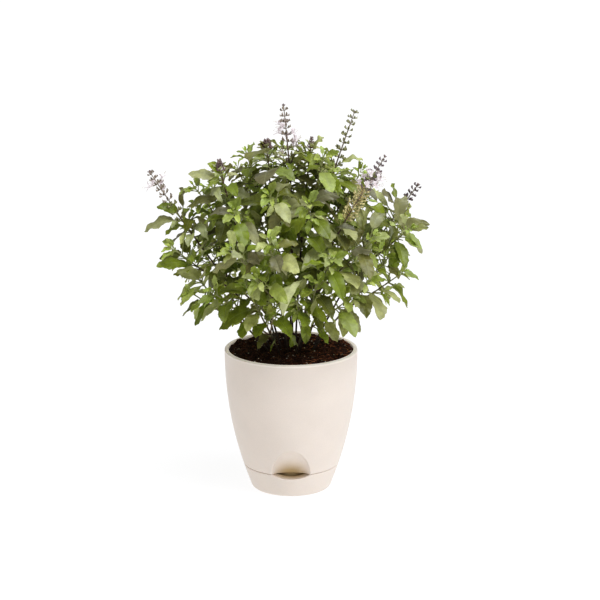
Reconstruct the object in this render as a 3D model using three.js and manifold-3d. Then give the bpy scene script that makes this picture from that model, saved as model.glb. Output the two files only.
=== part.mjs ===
// Holy basil (tulsi) in a two-piece self-watering pot, as a scene graph of named meshes.
// Millimetres, +Z up. The origin is on the ground under the pot's axis; the water inlet faces -Y.
import * as THREE from "three";
import { mergeVertices } from "three/addons/utils/BufferGeometryUtils.js";
import Module from "manifold-3d";

const wasm = await Module();
wasm.setup();
const { Manifold, Mesh } = wasm;

// ---- Driving dimensions: pot -------------------------------------------------------------
const POT_HEIGHT = 102;
const RIM_RADIUS = 47.3; // outside, at the rim
const BASE_RADIUS = 28; // outside, on the ground
const WALL = 2; // wall of the pot and of the saucer
const RIM_WIDTH = 3;
const SEAM_Z = 17.5; // where the pot sits on its saucer
const FIT_GAP = 0.3; // between pieces that rest on each other
const SAUCER_FLOOR = 2.4;
const BUCKET_RADIUS = 22; // the pot's narrow foot inside the saucer
const BUCKET_FLOOR_Z = 8;
const WICK_RADIUS = 9; // the cup of soil that dips into the water
const HOLE_RADIUS = 1.6; // drain holes in the pot's floors
const BUCKET_HOLES = 4;
const WICK_HOLES = 1;
const INLET = { halfWidth: 13.8, depth: 10.7, rise: 20, dip: 3.2 }; // the hollow that water is poured into
const ROUND_SIDES = 24;

// ---- Driving dimensions: soil ------------------------------------------------------------
const SOIL_EDGE_Z = 97; // soil level at the wall
const SOIL_CROWN = 4.5; // how much higher it is at the middle
const SOIL_LUMP = 1.1;

// ---- Driving dimensions: plant -----------------------------------------------------------
const FOOT_DEPTH = 12; // how far a stem goes down into the soil
const STEM_RADIUS = { foot: 1.35, tip: 0.7, fork: 0.8 };
const JOINTS = { main: 5, fork: 2 }; // straight lengths in a shoot
const BLADE_THICKNESS = 0.7;
const STALK_HALF_WIDTH = { root: 0.3, end: 0.6 };
const STALK_SHARE = 0.25; // of the whole leaf's length
const LEAF_SHAPE = 0.29; // half-width of a blade as a share of its length
const LEAF_LENGTH = { young: 15, full: 25, old: 29 }; // from the stem's axis to the tip
const PAIR_STEP = 10; // between the last two leaf pairs of a shoot, and more between older ones
const LEAF_PAIRS = { main: 3, fork: 2 };
const CLEARANCE = 0.3; // between leaves of different stems
const WHORL_STEP = { spike: 5.6, bud: 3.8 }; // between the rings of flowers on a spike and on a bud head
const WHORL_FLOWERS = 6;
const CALYX = { reach: 3.4, height: 1.9, axis: 1.0 };

// Each leafy stem: its foot on the soil, its end, the forks that leave it part of the way up,
// and what flowers at its end. "spike" is an open flower spike, "bud" a young closed one.
const STEMS = [
  { foot: [-9, -1], end: [-76, -5, 196], spike: [-98, -5, 230], forks: [[0.55, [-54, 15, 194]], [0.5, [-80, -18, 177]]] },
  { foot: [-8, -5.5], end: [-69, -14, 161], forks: [[0.4, [-56, 38, 168]], [0.45, [-68, -22, 147]]] },
  { foot: [-5, -9.5], end: [-30, -50, 160], forks: [[0.35, [-51, -36, 150]], [0.4, [-10, -52, 145]]] },
  { foot: [-4, -1], end: [-47, -10, 225], bud: [-50, -10, 242], forks: [[0.55, [-38, -38, 207]], [0.6, [-65, -2, 216]]] },
  { foot: [-3, 3.5], end: [-16, 5, 238], bud: [-17, 5, 254], forks: [[0.5, [-38, 45, 222]], [0.6, [-30, 14, 236]]] },
  { foot: [1, 0], end: [-1, 10, 232], spike: [-5, 10, 274], forks: [[0.55, [-14, -38, 218]], [0.6, [-6, 36, 237]]] },
  { foot: [2.5, 5], end: [13, 8, 238], bud: [15, 8, 255], forks: [[0.5, [10, 54, 228]], [0.6, [22, -14, 239]]] },
  { foot: [5.5, 1], end: [31, 0, 233], spike: [44, 0, 271], forks: [[0.5, [12, -46, 213]], [0.6, [48, 10, 225]]] },
  { foot: [4, -5.5], end: [37, -38, 202], spike: [64, -30, 245], forks: [[0.45, [27, -62, 180]], [0.5, [54, -46, 190]]] },
  { foot: [10, 0], end: [76, 5, 201], spike: [89, 5, 219], forks: [[0.6, [80, -24, 192]], [0.55, [80, 28, 188]]] },
  { foot: [9, -4.5], end: [70, -10, 173], forks: [[0.45, [52, -36, 158]], [0.5, [76, -18, 160]]] },
  { foot: [1, -10.5], end: [18, -58, 163], forks: [[0.4, [40, -44, 149]], [0.45, [4, -54, 150]]] },
  { foot: [-1, -5.5], end: [-14, -64, 192], forks: [[0.5, [-22, -66, 166]], [0.55, [-38, -56, 184]]] },
  { foot: [0, 9.5], end: [-2, 74, 184], forks: [[0.45, [24, 72, 156]], [0.55, [-26, 68, 200]]] },
  { foot: [7.5, 5.5], end: [52, 48, 204], forks: [[0.4, [60, 44, 162]], [0.6, [32, 60, 216]]] },
  { foot: [-7.5, 6], end: [-30, 66, 158], forks: [[0.5, [-56, 34, 210]], [0.4, [-62, 50, 156]]] },
];

// The plant's most conspicuous leaves: the stem each grows from, where its tip is, and its
// length from the stem's axis to that tip.
const SET_LEAVES = [
  { stem: 1, tip: [-102, -8, 188], length: 25 },
  { stem: 1, tip: [-87, -14, 187], length: 17 },
  { stem: 1, tip: [-93, -24, 167], length: 31 },
  { stem: 1, tip: [-62, -26, 180], length: 23 },
  { stem: 2, tip: [-78, -26, 165], length: 28 },
  { stem: 2, tip: [-74, -32, 143], length: 22 },
  { stem: 2, tip: [-68, -38, 138], length: 22 },
  { stem: 3, tip: [-49, -48, 128], length: 30 },
  { stem: 3, tip: [-33, -52, 123], length: 21 },
  { stem: 3, tip: [-30, -56, 129], length: 23 },
  { stem: 3, tip: [-24, -50, 123], length: 21 },
  { stem: 3, tip: [-21, -72, 155], length: 26 },
  { stem: 12, tip: [-5, -74, 145], length: 39 },
  { stem: 13, tip: [-39, -70, 184], length: 24 },
  { stem: 4, tip: [-72, -12, 206], length: 27 },
  { stem: 4, tip: [-71, -8, 229], length: 22 },
  { stem: 13, tip: [6, -80, 176], length: 32 },
  { stem: 5, tip: [-28, -28, 242], length: 20 },
  { stem: 2, tip: [-43, -40, 161], length: 20 },
  { stem: 5, tip: [-18, -36, 227], length: 19 },
  { stem: 12, tip: [-1, -42, 115], length: 22 },
  { stem: 10, tip: [96, -14, 195], length: 26 },
  { stem: 10, tip: [90, -30, 181], length: 19 },
  { stem: 10, tip: [70, -2, 221], length: 20 },
  { stem: 10, tip: [63, -12, 217], length: 23 },
  { stem: 10, tip: [78, -36, 169], length: 22 },
  { stem: 9, tip: [54, -54, 185], length: 24 },
  { stem: 11, tip: [61, -44, 134], length: 33 },
  { stem: 11, tip: [75, -32, 143], length: 24 },
  { stem: 12, tip: [44, -60, 126], length: 23 },
  { stem: 12, tip: [39, -62, 144], length: 17 },
  { stem: 11, tip: [41, -60, 156], length: 24 },
  { stem: 12, tip: [8, -66, 135], length: 26 },
  { stem: 12, tip: [32, -50, 120], length: 20 },
  { stem: 9, tip: [45, -60, 160], length: 28 },
  { stem: 8, tip: [33, -50, 221], length: 23 },
];

// What a leaf tries in turn until it is clear of its neighbours:
// degrees round the stem, more droop, and a shorter blade.
const LEAF_TRIES = [
  [0, 0, 1],
  [30, 0.2, 1],
  [-30, -0.2, 1],
  [55, 0.5, 0.95],
  [-55, -0.3, 0.9],
  [12, 0.9, 0.85],
  [-12, -0.6, 0.8],
  [85, 0.3, 0.75],
  [-85, 0.6, 0.7],
];

// A blade's edge on one side: shares of the blade's length, and how far the edge stands
// out of the smooth outline there, as teeth and the notches between them.
const EDGES = {
  large: [[0.2, 1.08], [0.47, 0.9], [0.78, 1.14]],
  medium: [[0.3, 1.04], [0.74, 1.1]],
  small: [[0.45, 1]],
};
const LARGE_FROM = 26.5; // whole leaf length from which the edge is cut as large
const MEDIUM_FROM = 16.5;
const EDGE_WAVE = 0.35; // how far teeth and notches rise and sink

const COLOURS = {
  pot: { color: 0xe9ded0, roughness: 0.55 },
  soil: { color: 0x2b1a12, roughness: 0.95 },
  foliage: { color: 0x6d8440, roughness: 0.6 },
  flower: { color: 0x5d4a4c, roughness: 0.7 },
};

// ---- Small tools -------------------------------------------------------------------------
const UP = new THREE.Vector3(0, 0, 1);
const LIGHT = new THREE.Vector3(0, -0.45, 0.75); // where leaves turn their faces
const vector = (x, y, z) => new THREE.Vector3(x, y, z);
const mix = (a, b, t) => a + (b - a) * t;
const radians = THREE.MathUtils.degToRad;

// A repeatable stream of numbers from 0 to 1.
function draws(seed) {
  let state = seed;
  const next = () => (state = (state * 1664525 + 1013904223) % 4294967296) / 4294967296;
  for (let i = 0; i < 4; i++) next();
  return next;
}

// A closed geometry as a manifold-3d solid, facing out.
function solidOf(geometry) {
  const bare = new THREE.BufferGeometry().setAttribute("position", geometry.getAttribute("position"));
  if (geometry.index) bare.setIndex(geometry.index);
  const merged = mergeVertices(bare, 1e-4);
  const corners = [];
  for (let i = 0; i < merged.index.count; i += 3) {
    const [a, b, c] = [0, 1, 2].map((k) => merged.index.getX(i + k));
    if (a !== b && b !== c && c !== a) corners.push(a, b, c);
  }
  return meshSolid(merged.attributes.position.array, corners);
}

function meshSolid(positions, corners) {
  const triVerts = new Uint32Array(corners);
  const vertProperties = new Float32Array(positions);
  return new Manifold(new Mesh({ numProp: 3, vertProperties, triVerts }));
}

// A solid back as a geometry that three.js can draw.
function geometryOf(solid) {
  const mesh = solid.getMesh();
  const geometry = new THREE.BufferGeometry();
  geometry.setAttribute("position", new THREE.BufferAttribute(mesh.vertProperties, 3));
  geometry.setIndex(new THREE.BufferAttribute(mesh.triVerts, 1));
  return geometry;
}

// A closed profile of [radius, z] points turned round the Z axis.
function turned(profile, sides) {
  const points = profile.map(([r, z]) => new THREE.Vector2(r, z));
  points.push(points[0].clone());
  const solid = solidOf(new THREE.LatheGeometry(points, sides).rotateX(Math.PI / 2));
  return solid;
}

// ---- Pot and saucer ----------------------------------------------------------------------
// The outside of pot and saucer is one curve: upright at the rim, drawn in towards the ground.
const wallCurve = new THREE.CubicBezierCurve(
  new THREE.Vector2(BASE_RADIUS, 0),
  new THREE.Vector2(37, 24),
  new THREE.Vector2(RIM_RADIUS, 55),
  new THREE.Vector2(RIM_RADIUS, POT_HEIGHT),
);

function outsideRadius(z) {
  let [low, high] = [0, 1];
  for (let i = 0; i < 30; i++) {
    const t = (low + high) / 2;
    if (wallCurve.getPoint(t).y < z) low = t;
    else high = t;
  }
  return wallCurve.getPoint(low).x;
}

const LEDGE_Z = SEAM_Z + FIT_GAP;
const WALL_HEIGHTS = [28, 41, 57, 78];
const INNER_HEIGHTS = [38, 67, 94];
const outside = (z) => [outsideRadius(z), z];
const inside = (z) => [outsideRadius(z) - WALL, z];

// The hollow pressed into the wall over the saucer, grown all round by the given amount.
function inletSolid(grow, dip) {
  const ball = new THREE.SphereGeometry(1, 16, 8).rotateX(Math.PI / 2);
  const place = ball.getAttribute("position");
  for (let i = 0; i < place.count; i++) {
    const height = place.getZ(i) > 0 ? INLET.rise : dip;
    place.setXYZ(
      i,
      place.getX(i) * (INLET.halfWidth + grow),
      place.getY(i) * (INLET.depth + grow) - outsideRadius(SEAM_Z),
      place.getZ(i) * (height + grow) + SEAM_Z,
    );
  }
  return solidOf(ball);
}

function ringOfHoles(count, ringRadius, z, depth) {
  const holes = [];
  for (let i = 0; i < count; i++) {
    const angle = (2 * Math.PI * (i + 0.5)) / count;
    const pin = new THREE.CylinderGeometry(HOLE_RADIUS, HOLE_RADIUS, depth, 6).rotateX(Math.PI / 2);
    holes.push(solidOf(pin.translate(ringRadius * Math.cos(angle), ringRadius * Math.sin(angle), z)));
  }
  return Manifold.union(holes);
}

function potSolid() {
  const wickBottom = SAUCER_FLOOR + FIT_GAP;
  const outer = [
    [0, wickBottom],
    [WICK_RADIUS, wickBottom],
    [WICK_RADIUS, BUCKET_FLOOR_Z],
    [BUCKET_RADIUS, BUCKET_FLOOR_Z],
    [BUCKET_RADIUS, LEDGE_Z],
    ...[LEDGE_Z, ...WALL_HEIGHTS].map(outside),
    [RIM_RADIUS, POT_HEIGHT - 1],
    [RIM_RADIUS - 0.8, POT_HEIGHT],
    [RIM_RADIUS - RIM_WIDTH + 0.7, POT_HEIGHT],
  ];
  const inner = [
    [RIM_RADIUS - RIM_WIDTH, POT_HEIGHT - 0.9],
    ...INNER_HEIGHTS.toReversed().map(inside),
    [outsideRadius(LEDGE_Z + WALL) - WALL, LEDGE_Z + WALL],
    [BUCKET_RADIUS - WALL, LEDGE_Z + WALL],
    [BUCKET_RADIUS - WALL, BUCKET_FLOOR_Z + WALL],
    [WICK_RADIUS - WALL, BUCKET_FLOOR_Z + WALL],
    [WICK_RADIUS - WALL, wickBottom + WALL],
    [0, wickBottom + WALL],
  ];
  const shell = turned([...outer, ...inner], ROUND_SIDES);
  const filled = turned([...outer, [0, POT_HEIGHT]], ROUND_SIDES);
  const niche = inletSolid(WALL, WALL).intersect(filled);
  const holes = ringOfHoles(BUCKET_HOLES, (WICK_RADIUS + BUCKET_RADIUS - WALL) / 2, BUCKET_FLOOR_Z, 3 * WALL);
  const wickHoles = ringOfHoles(WICK_HOLES, WICK_RADIUS / 2.4, wickBottom, 3 * WALL);
  return shell.add(niche).subtract(inletSolid(0, INLET.dip)).subtract(holes).subtract(wickHoles);
}

function saucerSolid() {
  const profile = [
    [0, 0],
    [BASE_RADIUS - 2.6, 0],
    [BASE_RADIUS - 0.6, 0.7],
    ...[2.6, 7, 12, SEAM_Z].map(outside),
    ...[SEAM_Z, 12, 7].map(inside),
    [BASE_RADIUS - WALL - 1.2, SAUCER_FLOOR],
    [0, SAUCER_FLOOR],
  ];
  return turned(profile, ROUND_SIDES).subtract(inletSolid(0, INLET.dip));
}

// ---- Soil --------------------------------------------------------------------------------
// Height of the soil's lumpy surface, which rises to a low crown round the stems.
function soilTop(x, y) {
  const share = Math.min(1, Math.hypot(x, y) / RIM_RADIUS);
  const lumps = Math.sin(0.31 * x + 1.3) * Math.cos(0.27 * y - 0.4) + 0.6 * Math.sin(0.53 * x - 0.47 * y);
  return SOIL_EDGE_Z + SOIL_CROWN * (1 - share * share) + SOIL_LUMP * lumps * (1 - share ** 6);
}

function soilSolid() {
  const edge = outsideRadius(SOIL_EDGE_Z) - WALL - FIT_GAP - 0.4;
  const wall = (z) => [outsideRadius(z) - WALL - FIT_GAP, z];
  const wickTop = SAUCER_FLOOR + FIT_GAP + WALL + FIT_GAP;
  const profile = [
    [0, wickTop],
    [WICK_RADIUS - WALL - FIT_GAP, wickTop],
    [WICK_RADIUS - WALL - FIT_GAP, BUCKET_FLOOR_Z + WALL + FIT_GAP],
    [BUCKET_RADIUS - WALL - FIT_GAP, BUCKET_FLOOR_Z + WALL + FIT_GAP],
    [BUCKET_RADIUS - WALL - FIT_GAP, LEDGE_Z + WALL + FIT_GAP],
    ...[LEDGE_Z + WALL + FIT_GAP, ...INNER_HEIGHTS].map(wall),
    [edge, SOIL_EDGE_Z],
    ...[30, 15].map((r) => [r, SOIL_EDGE_Z]),
    [0, SOIL_EDGE_Z],
  ];
  const plug = turned(profile, ROUND_SIDES).subtract(inletSolid(WALL + FIT_GAP, WALL));
  return plug.warp((v) => {
    if (v[2] > SOIL_EDGE_Z - 0.01) v[2] = soilTop(v[0], v[1]);
  });
}

// ---- Stems -------------------------------------------------------------------------------
// Two directions square to a stem's own, the same for all that grows on it.
function squareTo(along) {
  const across = vector(0, 1, 0).cross(along).normalize();
  return [across, along.clone().cross(across)];
}

// A shoot follows its curve in straight joints. Its four-sided stem gets thinner to the end.
function shootAlong(curve, joints, first, last) {
  const path = new THREE.CurvePath();
  const points = curve.getPoints(joints);
  const positions = [];
  const corners = [];
  points.forEach((at, i) => {
    if (i) path.add(new THREE.LineCurve3(points[i - 1], at));
    const [across, over] = squareTo(curve.getTangent(i / joints));
    const radius = mix(first, last, i / joints);
    for (const [x, y] of [[1, 0], [0, 1], [-1, 0], [0, -1]]) {
      const corner = at.clone().addScaledVector(across, radius * x).addScaledVector(over, radius * y);
      positions.push(...corner.toArray());
    }
  });
  for (let a = 0; a < 4 * joints; a++) {
    const b = a % 4 === 3 ? a - 3 : a + 1;
    corners.push(a, b, b + 4, a, b + 4, a + 4);
  }
  const end = 4 * joints;
  corners.push(0, 2, 1, 0, 3, 2, end, end + 1, end + 2, end, end + 2, end + 3);
  return { path, solid: meshSolid(positions, corners) };
}

// The curve of a stem from its foot in the soil. It leaves the soil steeply and leans out.
function stemCurve({ foot, end, spike, bud }) {
  const start = vector(foot[0], foot[1], soilTop(foot[0], foot[1]) - FOOT_DEPTH);
  const finish = vector(...end);
  const reach = finish.clone().sub(start);
  const top = spike || bud;
  const last = top ? vector(...top).sub(finish).normalize() : reach.clone().normalize().lerp(UP, 0.15).normalize();
  const first = vector(reach.x * 0.22, reach.y * 0.22, reach.z * 0.36);
  const before = finish.clone().addScaledVector(last, -0.3 * reach.length());
  return new THREE.CubicBezierCurve3(start, start.clone().add(first), before, finish);
}

// The hole in the soil round a stem's lowest joint, clear of it on all sides.
function footHole(joint) {
  const down = joint.getTangent(0).multiplyScalar(-FIT_GAP * 1.2);
  const line = new THREE.LineCurve3(joint.v1.clone().add(down), joint.v2);
  const radius = STEM_RADIUS.foot + FIT_GAP * 1.6;
  return shootAlong(line, 1, radius, radius).solid;
}

// The curve of a fork, which leaves its stem at a share of the way up and turns towards the light.
function forkCurve(main, [at, end]) {
  const start = main.getPoint(at);
  const finish = vector(...end);
  const reach = finish.clone().sub(start);
  const length = reach.length();
  const first = main.getTangent(at).lerp(reach.clone().normalize(), 0.6).normalize();
  const last = reach.clone().normalize().lerp(UP, 0.3).normalize();
  return new THREE.CubicBezierCurve3(
    start,
    start.clone().addScaledVector(first, 0.33 * length),
    finish.clone().addScaledVector(last, -0.3 * length),
    finish,
  );
}

// ---- Leaves ------------------------------------------------------------------------------
// A leaf is a narrow stalk and a blade on one midrib, which starts on the stem's axis and
// droops: a parabola in the plane of its first direction and the vertical.
function leafFrame(origin, along, start, droop, length) {
  const out = start.clone().addScaledVector(along, -start.dot(along)).normalize();
  const light = LIGHT.clone().addScaledVector(along, 0.3).addScaledVector(out, -0.3);
  light.addScaledVector(vector(origin.x, origin.y, 0).normalize(), 0.3);
  const side = start.clone().cross(light).normalize();
  const chord = start.clone().addScaledVector(UP, -droop / 2).length();
  return { origin, start, side, droop, length, reach: length / chord };
}

// A leaf that leaves its shoot at a turn round it and a lift away from its direction.
function turnedLeaf(curve, { share, turn, length, droop, lift }) {
  const along = curve.getTangent(share);
  const [across, over] = squareTo(along);
  const out = across.multiplyScalar(Math.cos(turn)).addScaledVector(over, Math.sin(turn));
  const start = along.clone().multiplyScalar(Math.cos(lift)).addScaledVector(out, Math.sin(lift));
  return leafFrame(curve.getPoint(share), along, start, droop, length);
}

// A leaf that ends at a set point. It starts where its shoots pass at the leaf's length from it.
function setLeaf(curves, { tip, length }, droop) {
  const target = vector(...tip);
  let best = { miss: Infinity };
  for (const curve of curves) {
    for (let share = 0.25; share < 1; share += 0.01) {
      const origin = curve.getPoint(share);
      const along = curve.getTangent(share);
      const chord = target.clone().sub(origin);
      const steep = Math.abs(chord.angleTo(along) - radians(75));
      const miss = Math.abs(chord.length() - length) + 4 * steep;
      if (miss < best.miss) best = { miss, origin, along, chord };
    }
  }
  const { origin, along, chord } = best;
  const size = chord.length();
  const fall = (droop * chord.z) / size;
  const stretch = Math.sqrt(fall * fall - droop * droop + 4) / 2 - fall / 2;
  const start = chord.multiplyScalar(stretch / size).addScaledVector(UP, droop / 2).normalize();
  return leafFrame(origin, along, start, droop, size);
}

// A point of the leaf: share of the midrib from the stem, across it, and off its surface.
// The stalk keeps one normal over its whole length.
function leafPoint(leaf, share, across, lift) {
  const bend = leaf.droop * Math.max(share, STALK_SHARE);
  const along = leaf.start.clone().addScaledVector(UP, -bend).normalize();
  const normal = leaf.side.clone().cross(along).normalize();
  return leaf.origin
    .clone()
    .addScaledVector(leaf.start, leaf.reach * share)
    .addScaledVector(UP, (-leaf.reach * leaf.droop * share * share) / 2)
    .addScaledVector(leaf.side, across)
    .addScaledVector(normal, lift);
}

// Half-width of a blade as a share of its widest.
const bladeOutline = (u) => Math.sin(Math.PI * u ** 0.9) ** 0.7;

function edgeOf(length) {
  if (length >= LARGE_FROM) return EDGES.large;
  return length >= MEDIUM_FROM ? EDGES.medium : EDGES.small;
}

// The leaf's rows, each [share of the midrib, half-width, wave], ending before the tip.
function leafRows(leaf, withStalk) {
  const widest = LEAF_SHAPE * leaf.length * (1 - STALK_SHARE);
  const rows = edgeOf(leaf.length).map(([u, tooth], i) => [
    mix(STALK_SHARE, 1, u),
    widest * bladeOutline(u) * tooth,
    i % 2 ? -EDGE_WAVE : EDGE_WAVE,
  ]);
  const stalk = [[STALK_SHARE, STALK_HALF_WIDTH.end, 0]];
  if (withStalk) stalk.unshift([0, STALK_HALF_WIDTH.root, 0]);
  return [...stalk, ...rows];
}

// The leaf as a thin solid whose two faces are split into the same triangles.
function leafSolid(leaf, withStalk) {
  const rows = leafRows(leaf, withStalk);
  const outline = rows.flatMap(([t, w, wave]) => [[t, -w, wave], [t, w, wave]]);
  outline.push([1, 0, 0]);
  const count = outline.length;
  const half = BLADE_THICKNESS / 2;
  const positions = [half, -half].flatMap((face) =>
    outline.flatMap(([t, w, wave]) => leafPoint(leaf, t, w, wave + face).toArray()),
  );
  const face = [];
  for (let i = 0; i + 2 < count - 1; i += 2) face.push([i, i + 1, i + 3], [i, i + 3, i + 2]);
  face.push([count - 3, count - 2, count - 1]);
  const left = [...rows.keys()].map((i) => 2 * i);
  const right = left.map((i) => i + 1);
  const rim = [...right, count - 1, ...left.toReversed()];
  const corners = face.flatMap(([a, b, c]) => [a, b, c, a + count, c + count, b + count]);
  rim.forEach((a, i) => {
    const b = rim[(i + 1) % rim.length];
    corners.push(a, a + count, b + count, a, b + count, b);
  });
  return meshSolid(positions, corners);
}

// The leaves that a shoot asks for, from its end back: opposite pairs, each a quarter turn on.
function leavesAlong(path, pairs, seed, flowering) {
  const draw = draws(seed);
  const length = path.getLength();
  const wanted = [];
  let back = 0.8;
  for (let pair = 0; pair < pairs && back < 0.8 * length; pair++) {
    const age = Math.min(1, pair / 2);
    for (const side of [0, Math.PI]) {
      wanted.push({
        path,
        share: 1 - back / length,
        turn: Math.PI / 4 + (pair * Math.PI) / 2 + side + mix(-0.15, 0.15, draw()),
        length: (pair ? mix(LEAF_LENGTH.full, LEAF_LENGTH.old, age - 0.5) : LEAF_LENGTH.young) * mix(0.88, 1.08, draw()),
        droop: mix(0.6, 1.7, age) + mix(-0.3, 0.4, draw()),
        lift: radians(mix(flowering ? 62 : 42, 74, age) + mix(-8, 8, draw())),
      });
    }
    back += PAIR_STEP * (1 + 0.35 * pair);
  }
  return wanted;
}

// ---- Flower spikes -----------------------------------------------------------------------
// A spike from its stem's end to its own tip. Its axis swells at every whorl, and each of the
// sides there is drawn out into a pointed calyx.
function spikeSolid(from, to, step) {
  const axis = vector(...to).sub(from);
  const length = axis.length() - FIT_GAP;
  const along = axis.clone().normalize();
  const start = from.clone().addScaledVector(along, FIT_GAP);
  const [side, over] = squareTo(along);
  const positions = [];
  const corners = [];
  const point = (up, out, turn) => {
    const p = start.clone().addScaledVector(along, up).addScaledVector(side, out * Math.cos(turn));
    return positions.push(...p.addScaledVector(over, out * Math.sin(turn)).toArray()) / 3 - 1;
  };
  const sides = [...Array(WHORL_FLOWERS).keys()];
  const turnOf = (k) => (2 * Math.PI * k) / WHORL_FLOWERS;
  const ring = (up, out) => sides.map((k) => point(up, out, turnOf(k)));
  const after = (k) => (k + 1) % WHORL_FLOWERS;
  const join = (a, b) => {
    for (const k of sides) corners.push(a[k], a[after(k)], b[after(k)], a[k], b[after(k)], b[k]);
  };
  const whorls = Math.floor((length - CALYX.height) / step);
  let last = ring(0, STEM_RADIUS.tip);
  for (const k of sides.slice(1, -1)) corners.push(last[0], last[k + 1], last[k]);
  for (let whorl = 0; whorl < whorls; whorl++) {
    const size = mix(1, 0.55, whorl / whorls);
    const up = (whorl + 0.45) * step;
    const low = ring(up, CALYX.axis * size);
    const high = ring(up + CALYX.height * size, CALYX.axis * size);
    join(last, low);
    for (const k of sides) {
      const reach = CALYX.reach * size * (k % 3 === 1 ? 1.12 : 0.95);
      const tip = point(up + CALYX.height * mix(0.9, 1.3, whorl / whorls) * size, reach, turnOf(k + 0.5));
      const [a, b, c, d] = [low[k], low[after(k)], high[after(k)], high[k]];
      corners.push(a, b, tip, b, c, tip, c, d, tip, d, a, tip);
    }
    last = high;
  }
  const tip = point(length, 0, 0);
  for (const k of sides) corners.push(last[k], last[after(k)], tip);
  return meshSolid(positions, corners);
}

// ---- The plant ---------------------------------------------------------------------------
const overlapping = (a, b) => [0, 1, 2].every((k) => a.min[k] <= b.max[k] + 1 && b.min[k] <= a.max[k] + 1);

function touches(solid, things) {
  const box = solid.boundingBox();
  return things.some((t) => overlapping(box, t.box) && solid.minGap(t.solid, 1) < CLEARANCE);
}

const placed = (solid, owner) => ({ solid, owner, box: solid.boundingBox() });

// A leaf as solids, if its blade is clear of everything and its stalk of the other stems.
function clearLeaf(leaf, owner, fixed, blades) {
  const blade = leafSolid(leaf, false);
  if (touches(blade, fixed) || touches(blade, blades)) return null;
  const whole = leafSolid(leaf, true);
  if (touches(whole, [...fixed, ...blades].filter((t) => t.owner !== owner))) return null;
  return { whole, blade };
}

// The first of a leaf's tries that is clear, or nothing.
function growLeaf(want, owner, fixed, blades) {
  for (const [turn, droop, shrink] of LEAF_TRIES) {
    const leaf = turnedLeaf(want.path, {
      ...want,
      turn: want.turn + radians(turn),
      droop: Math.max(0.1, want.droop + droop),
      length: want.length * shrink,
    });
    const found = clearLeaf(leaf, owner, fixed, blades);
    if (found) return found;
  }
  return null;
}

// A set leaf, drooping as little as keeps it clear.
function growSetLeaf(curves, set, owner, fixed, blades) {
  for (const droop of [1.1, 0.7, 1.4, 0.4, 1.7]) {
    const found = clearLeaf(setLeaf(curves, set, droop), owner, fixed, blades);
    if (found) return found;
  }
  return null;
}

function plantSolids(pot, soil) {
  const shoots = STEMS.map((stem, i) => {
    const main = shootAlong(stemCurve(stem), JOINTS.main, STEM_RADIUS.foot, STEM_RADIUS.tip);
    const forks = stem.forks.map((fork) =>
      shootAlong(forkCurve(main.path, fork), JOINTS.fork, STEM_RADIUS.fork, STEM_RADIUS.tip),
    );
    return { stem, main, forks, all: [main, ...forks], name: String(i + 1).padStart(2, "0") };
  });
  const spikes = shoots
    .filter(({ stem }) => stem.spike || stem.bud)
    .map(({ stem, main, name }) => ({
      name: `${stem.spike ? "flower_spike" : "bud_head"}_${name}`,
      solid: spikeSolid(main.path.getPoint(1), stem.spike || stem.bud, WHORL_STEP[stem.spike ? "spike" : "bud"]),
    }));
  const fixed = [
    ...shoots.flatMap(({ all, name }) => all.map(({ solid }) => placed(solid, name))),
    ...spikes.map(({ name, solid }) => placed(solid, name)),
    placed(pot, "pot"),
    placed(soil, "soil"),
  ];
  const blades = [];
  const leaves = shoots.map(() => []);
  const keep = (leaf, i) => {
    if (!leaf) return;
    blades.push(placed(leaf.blade, shoots[i].name));
    leaves[i].push(leaf.whole);
  };
  for (const set of SET_LEAVES) {
    const { all, name } = shoots[set.stem - 1];
    keep(growSetLeaf(all.map(({ path }) => path), set, name, fixed, blades), set.stem - 1);
  }
  shoots.forEach(({ stem, main, forks, name }, i) => {
    const flowering = Boolean(stem.spike || stem.bud);
    const wanted = [
      ...leavesAlong(main.path, LEAF_PAIRS.main, 1000 + 37 * i, flowering),
      ...forks.flatMap((fork, k) => leavesAlong(fork.path, LEAF_PAIRS.fork, 5000 + 53 * i + 7 * k, false)),
    ];
    for (const want of wanted) keep(growLeaf(want, name, fixed, blades), i);
  });
  const leafy = shoots.map(({ all, name }, i) => ({
    name: `leafy_stem_${name}`,
    solid: Manifold.union([...all.map(({ solid }) => solid), ...leaves[i]]),
  }));
  return { leafy, spikes, feet: shoots.map(({ main }) => main.path.curves[0]) };
}

// ---- The scene graph ---------------------------------------------------------------------
function meshOf(name, solid, finish) {
  const mesh = new THREE.Mesh(geometryOf(solid), new THREE.MeshStandardMaterial({ metalness: 0, ...finish }));
  mesh.name = name;
  return mesh;
}

const pot = potSolid();
const saucer = saucerSolid();
const plainSoil = soilSolid();
const plant = plantSolids(pot, plainSoil);
const soil = plainSoil.subtract(Manifold.union(plant.feet.map(footHole)));

const basil = new THREE.Group();
basil.add(meshOf("pot", pot, COLOURS.pot));
basil.add(meshOf("saucer", saucer, COLOURS.pot));
basil.add(meshOf("soil", soil, COLOURS.soil));
for (const { name, solid } of plant.leafy) basil.add(meshOf(name, solid, COLOURS.foliage));
for (const { name, solid } of plant.spikes) basil.add(meshOf(name, solid, COLOURS.flower));

export default basil;
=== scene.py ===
import math
from itertools import combinations

import bpy
import numpy as np
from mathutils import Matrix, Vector, noise


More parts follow.
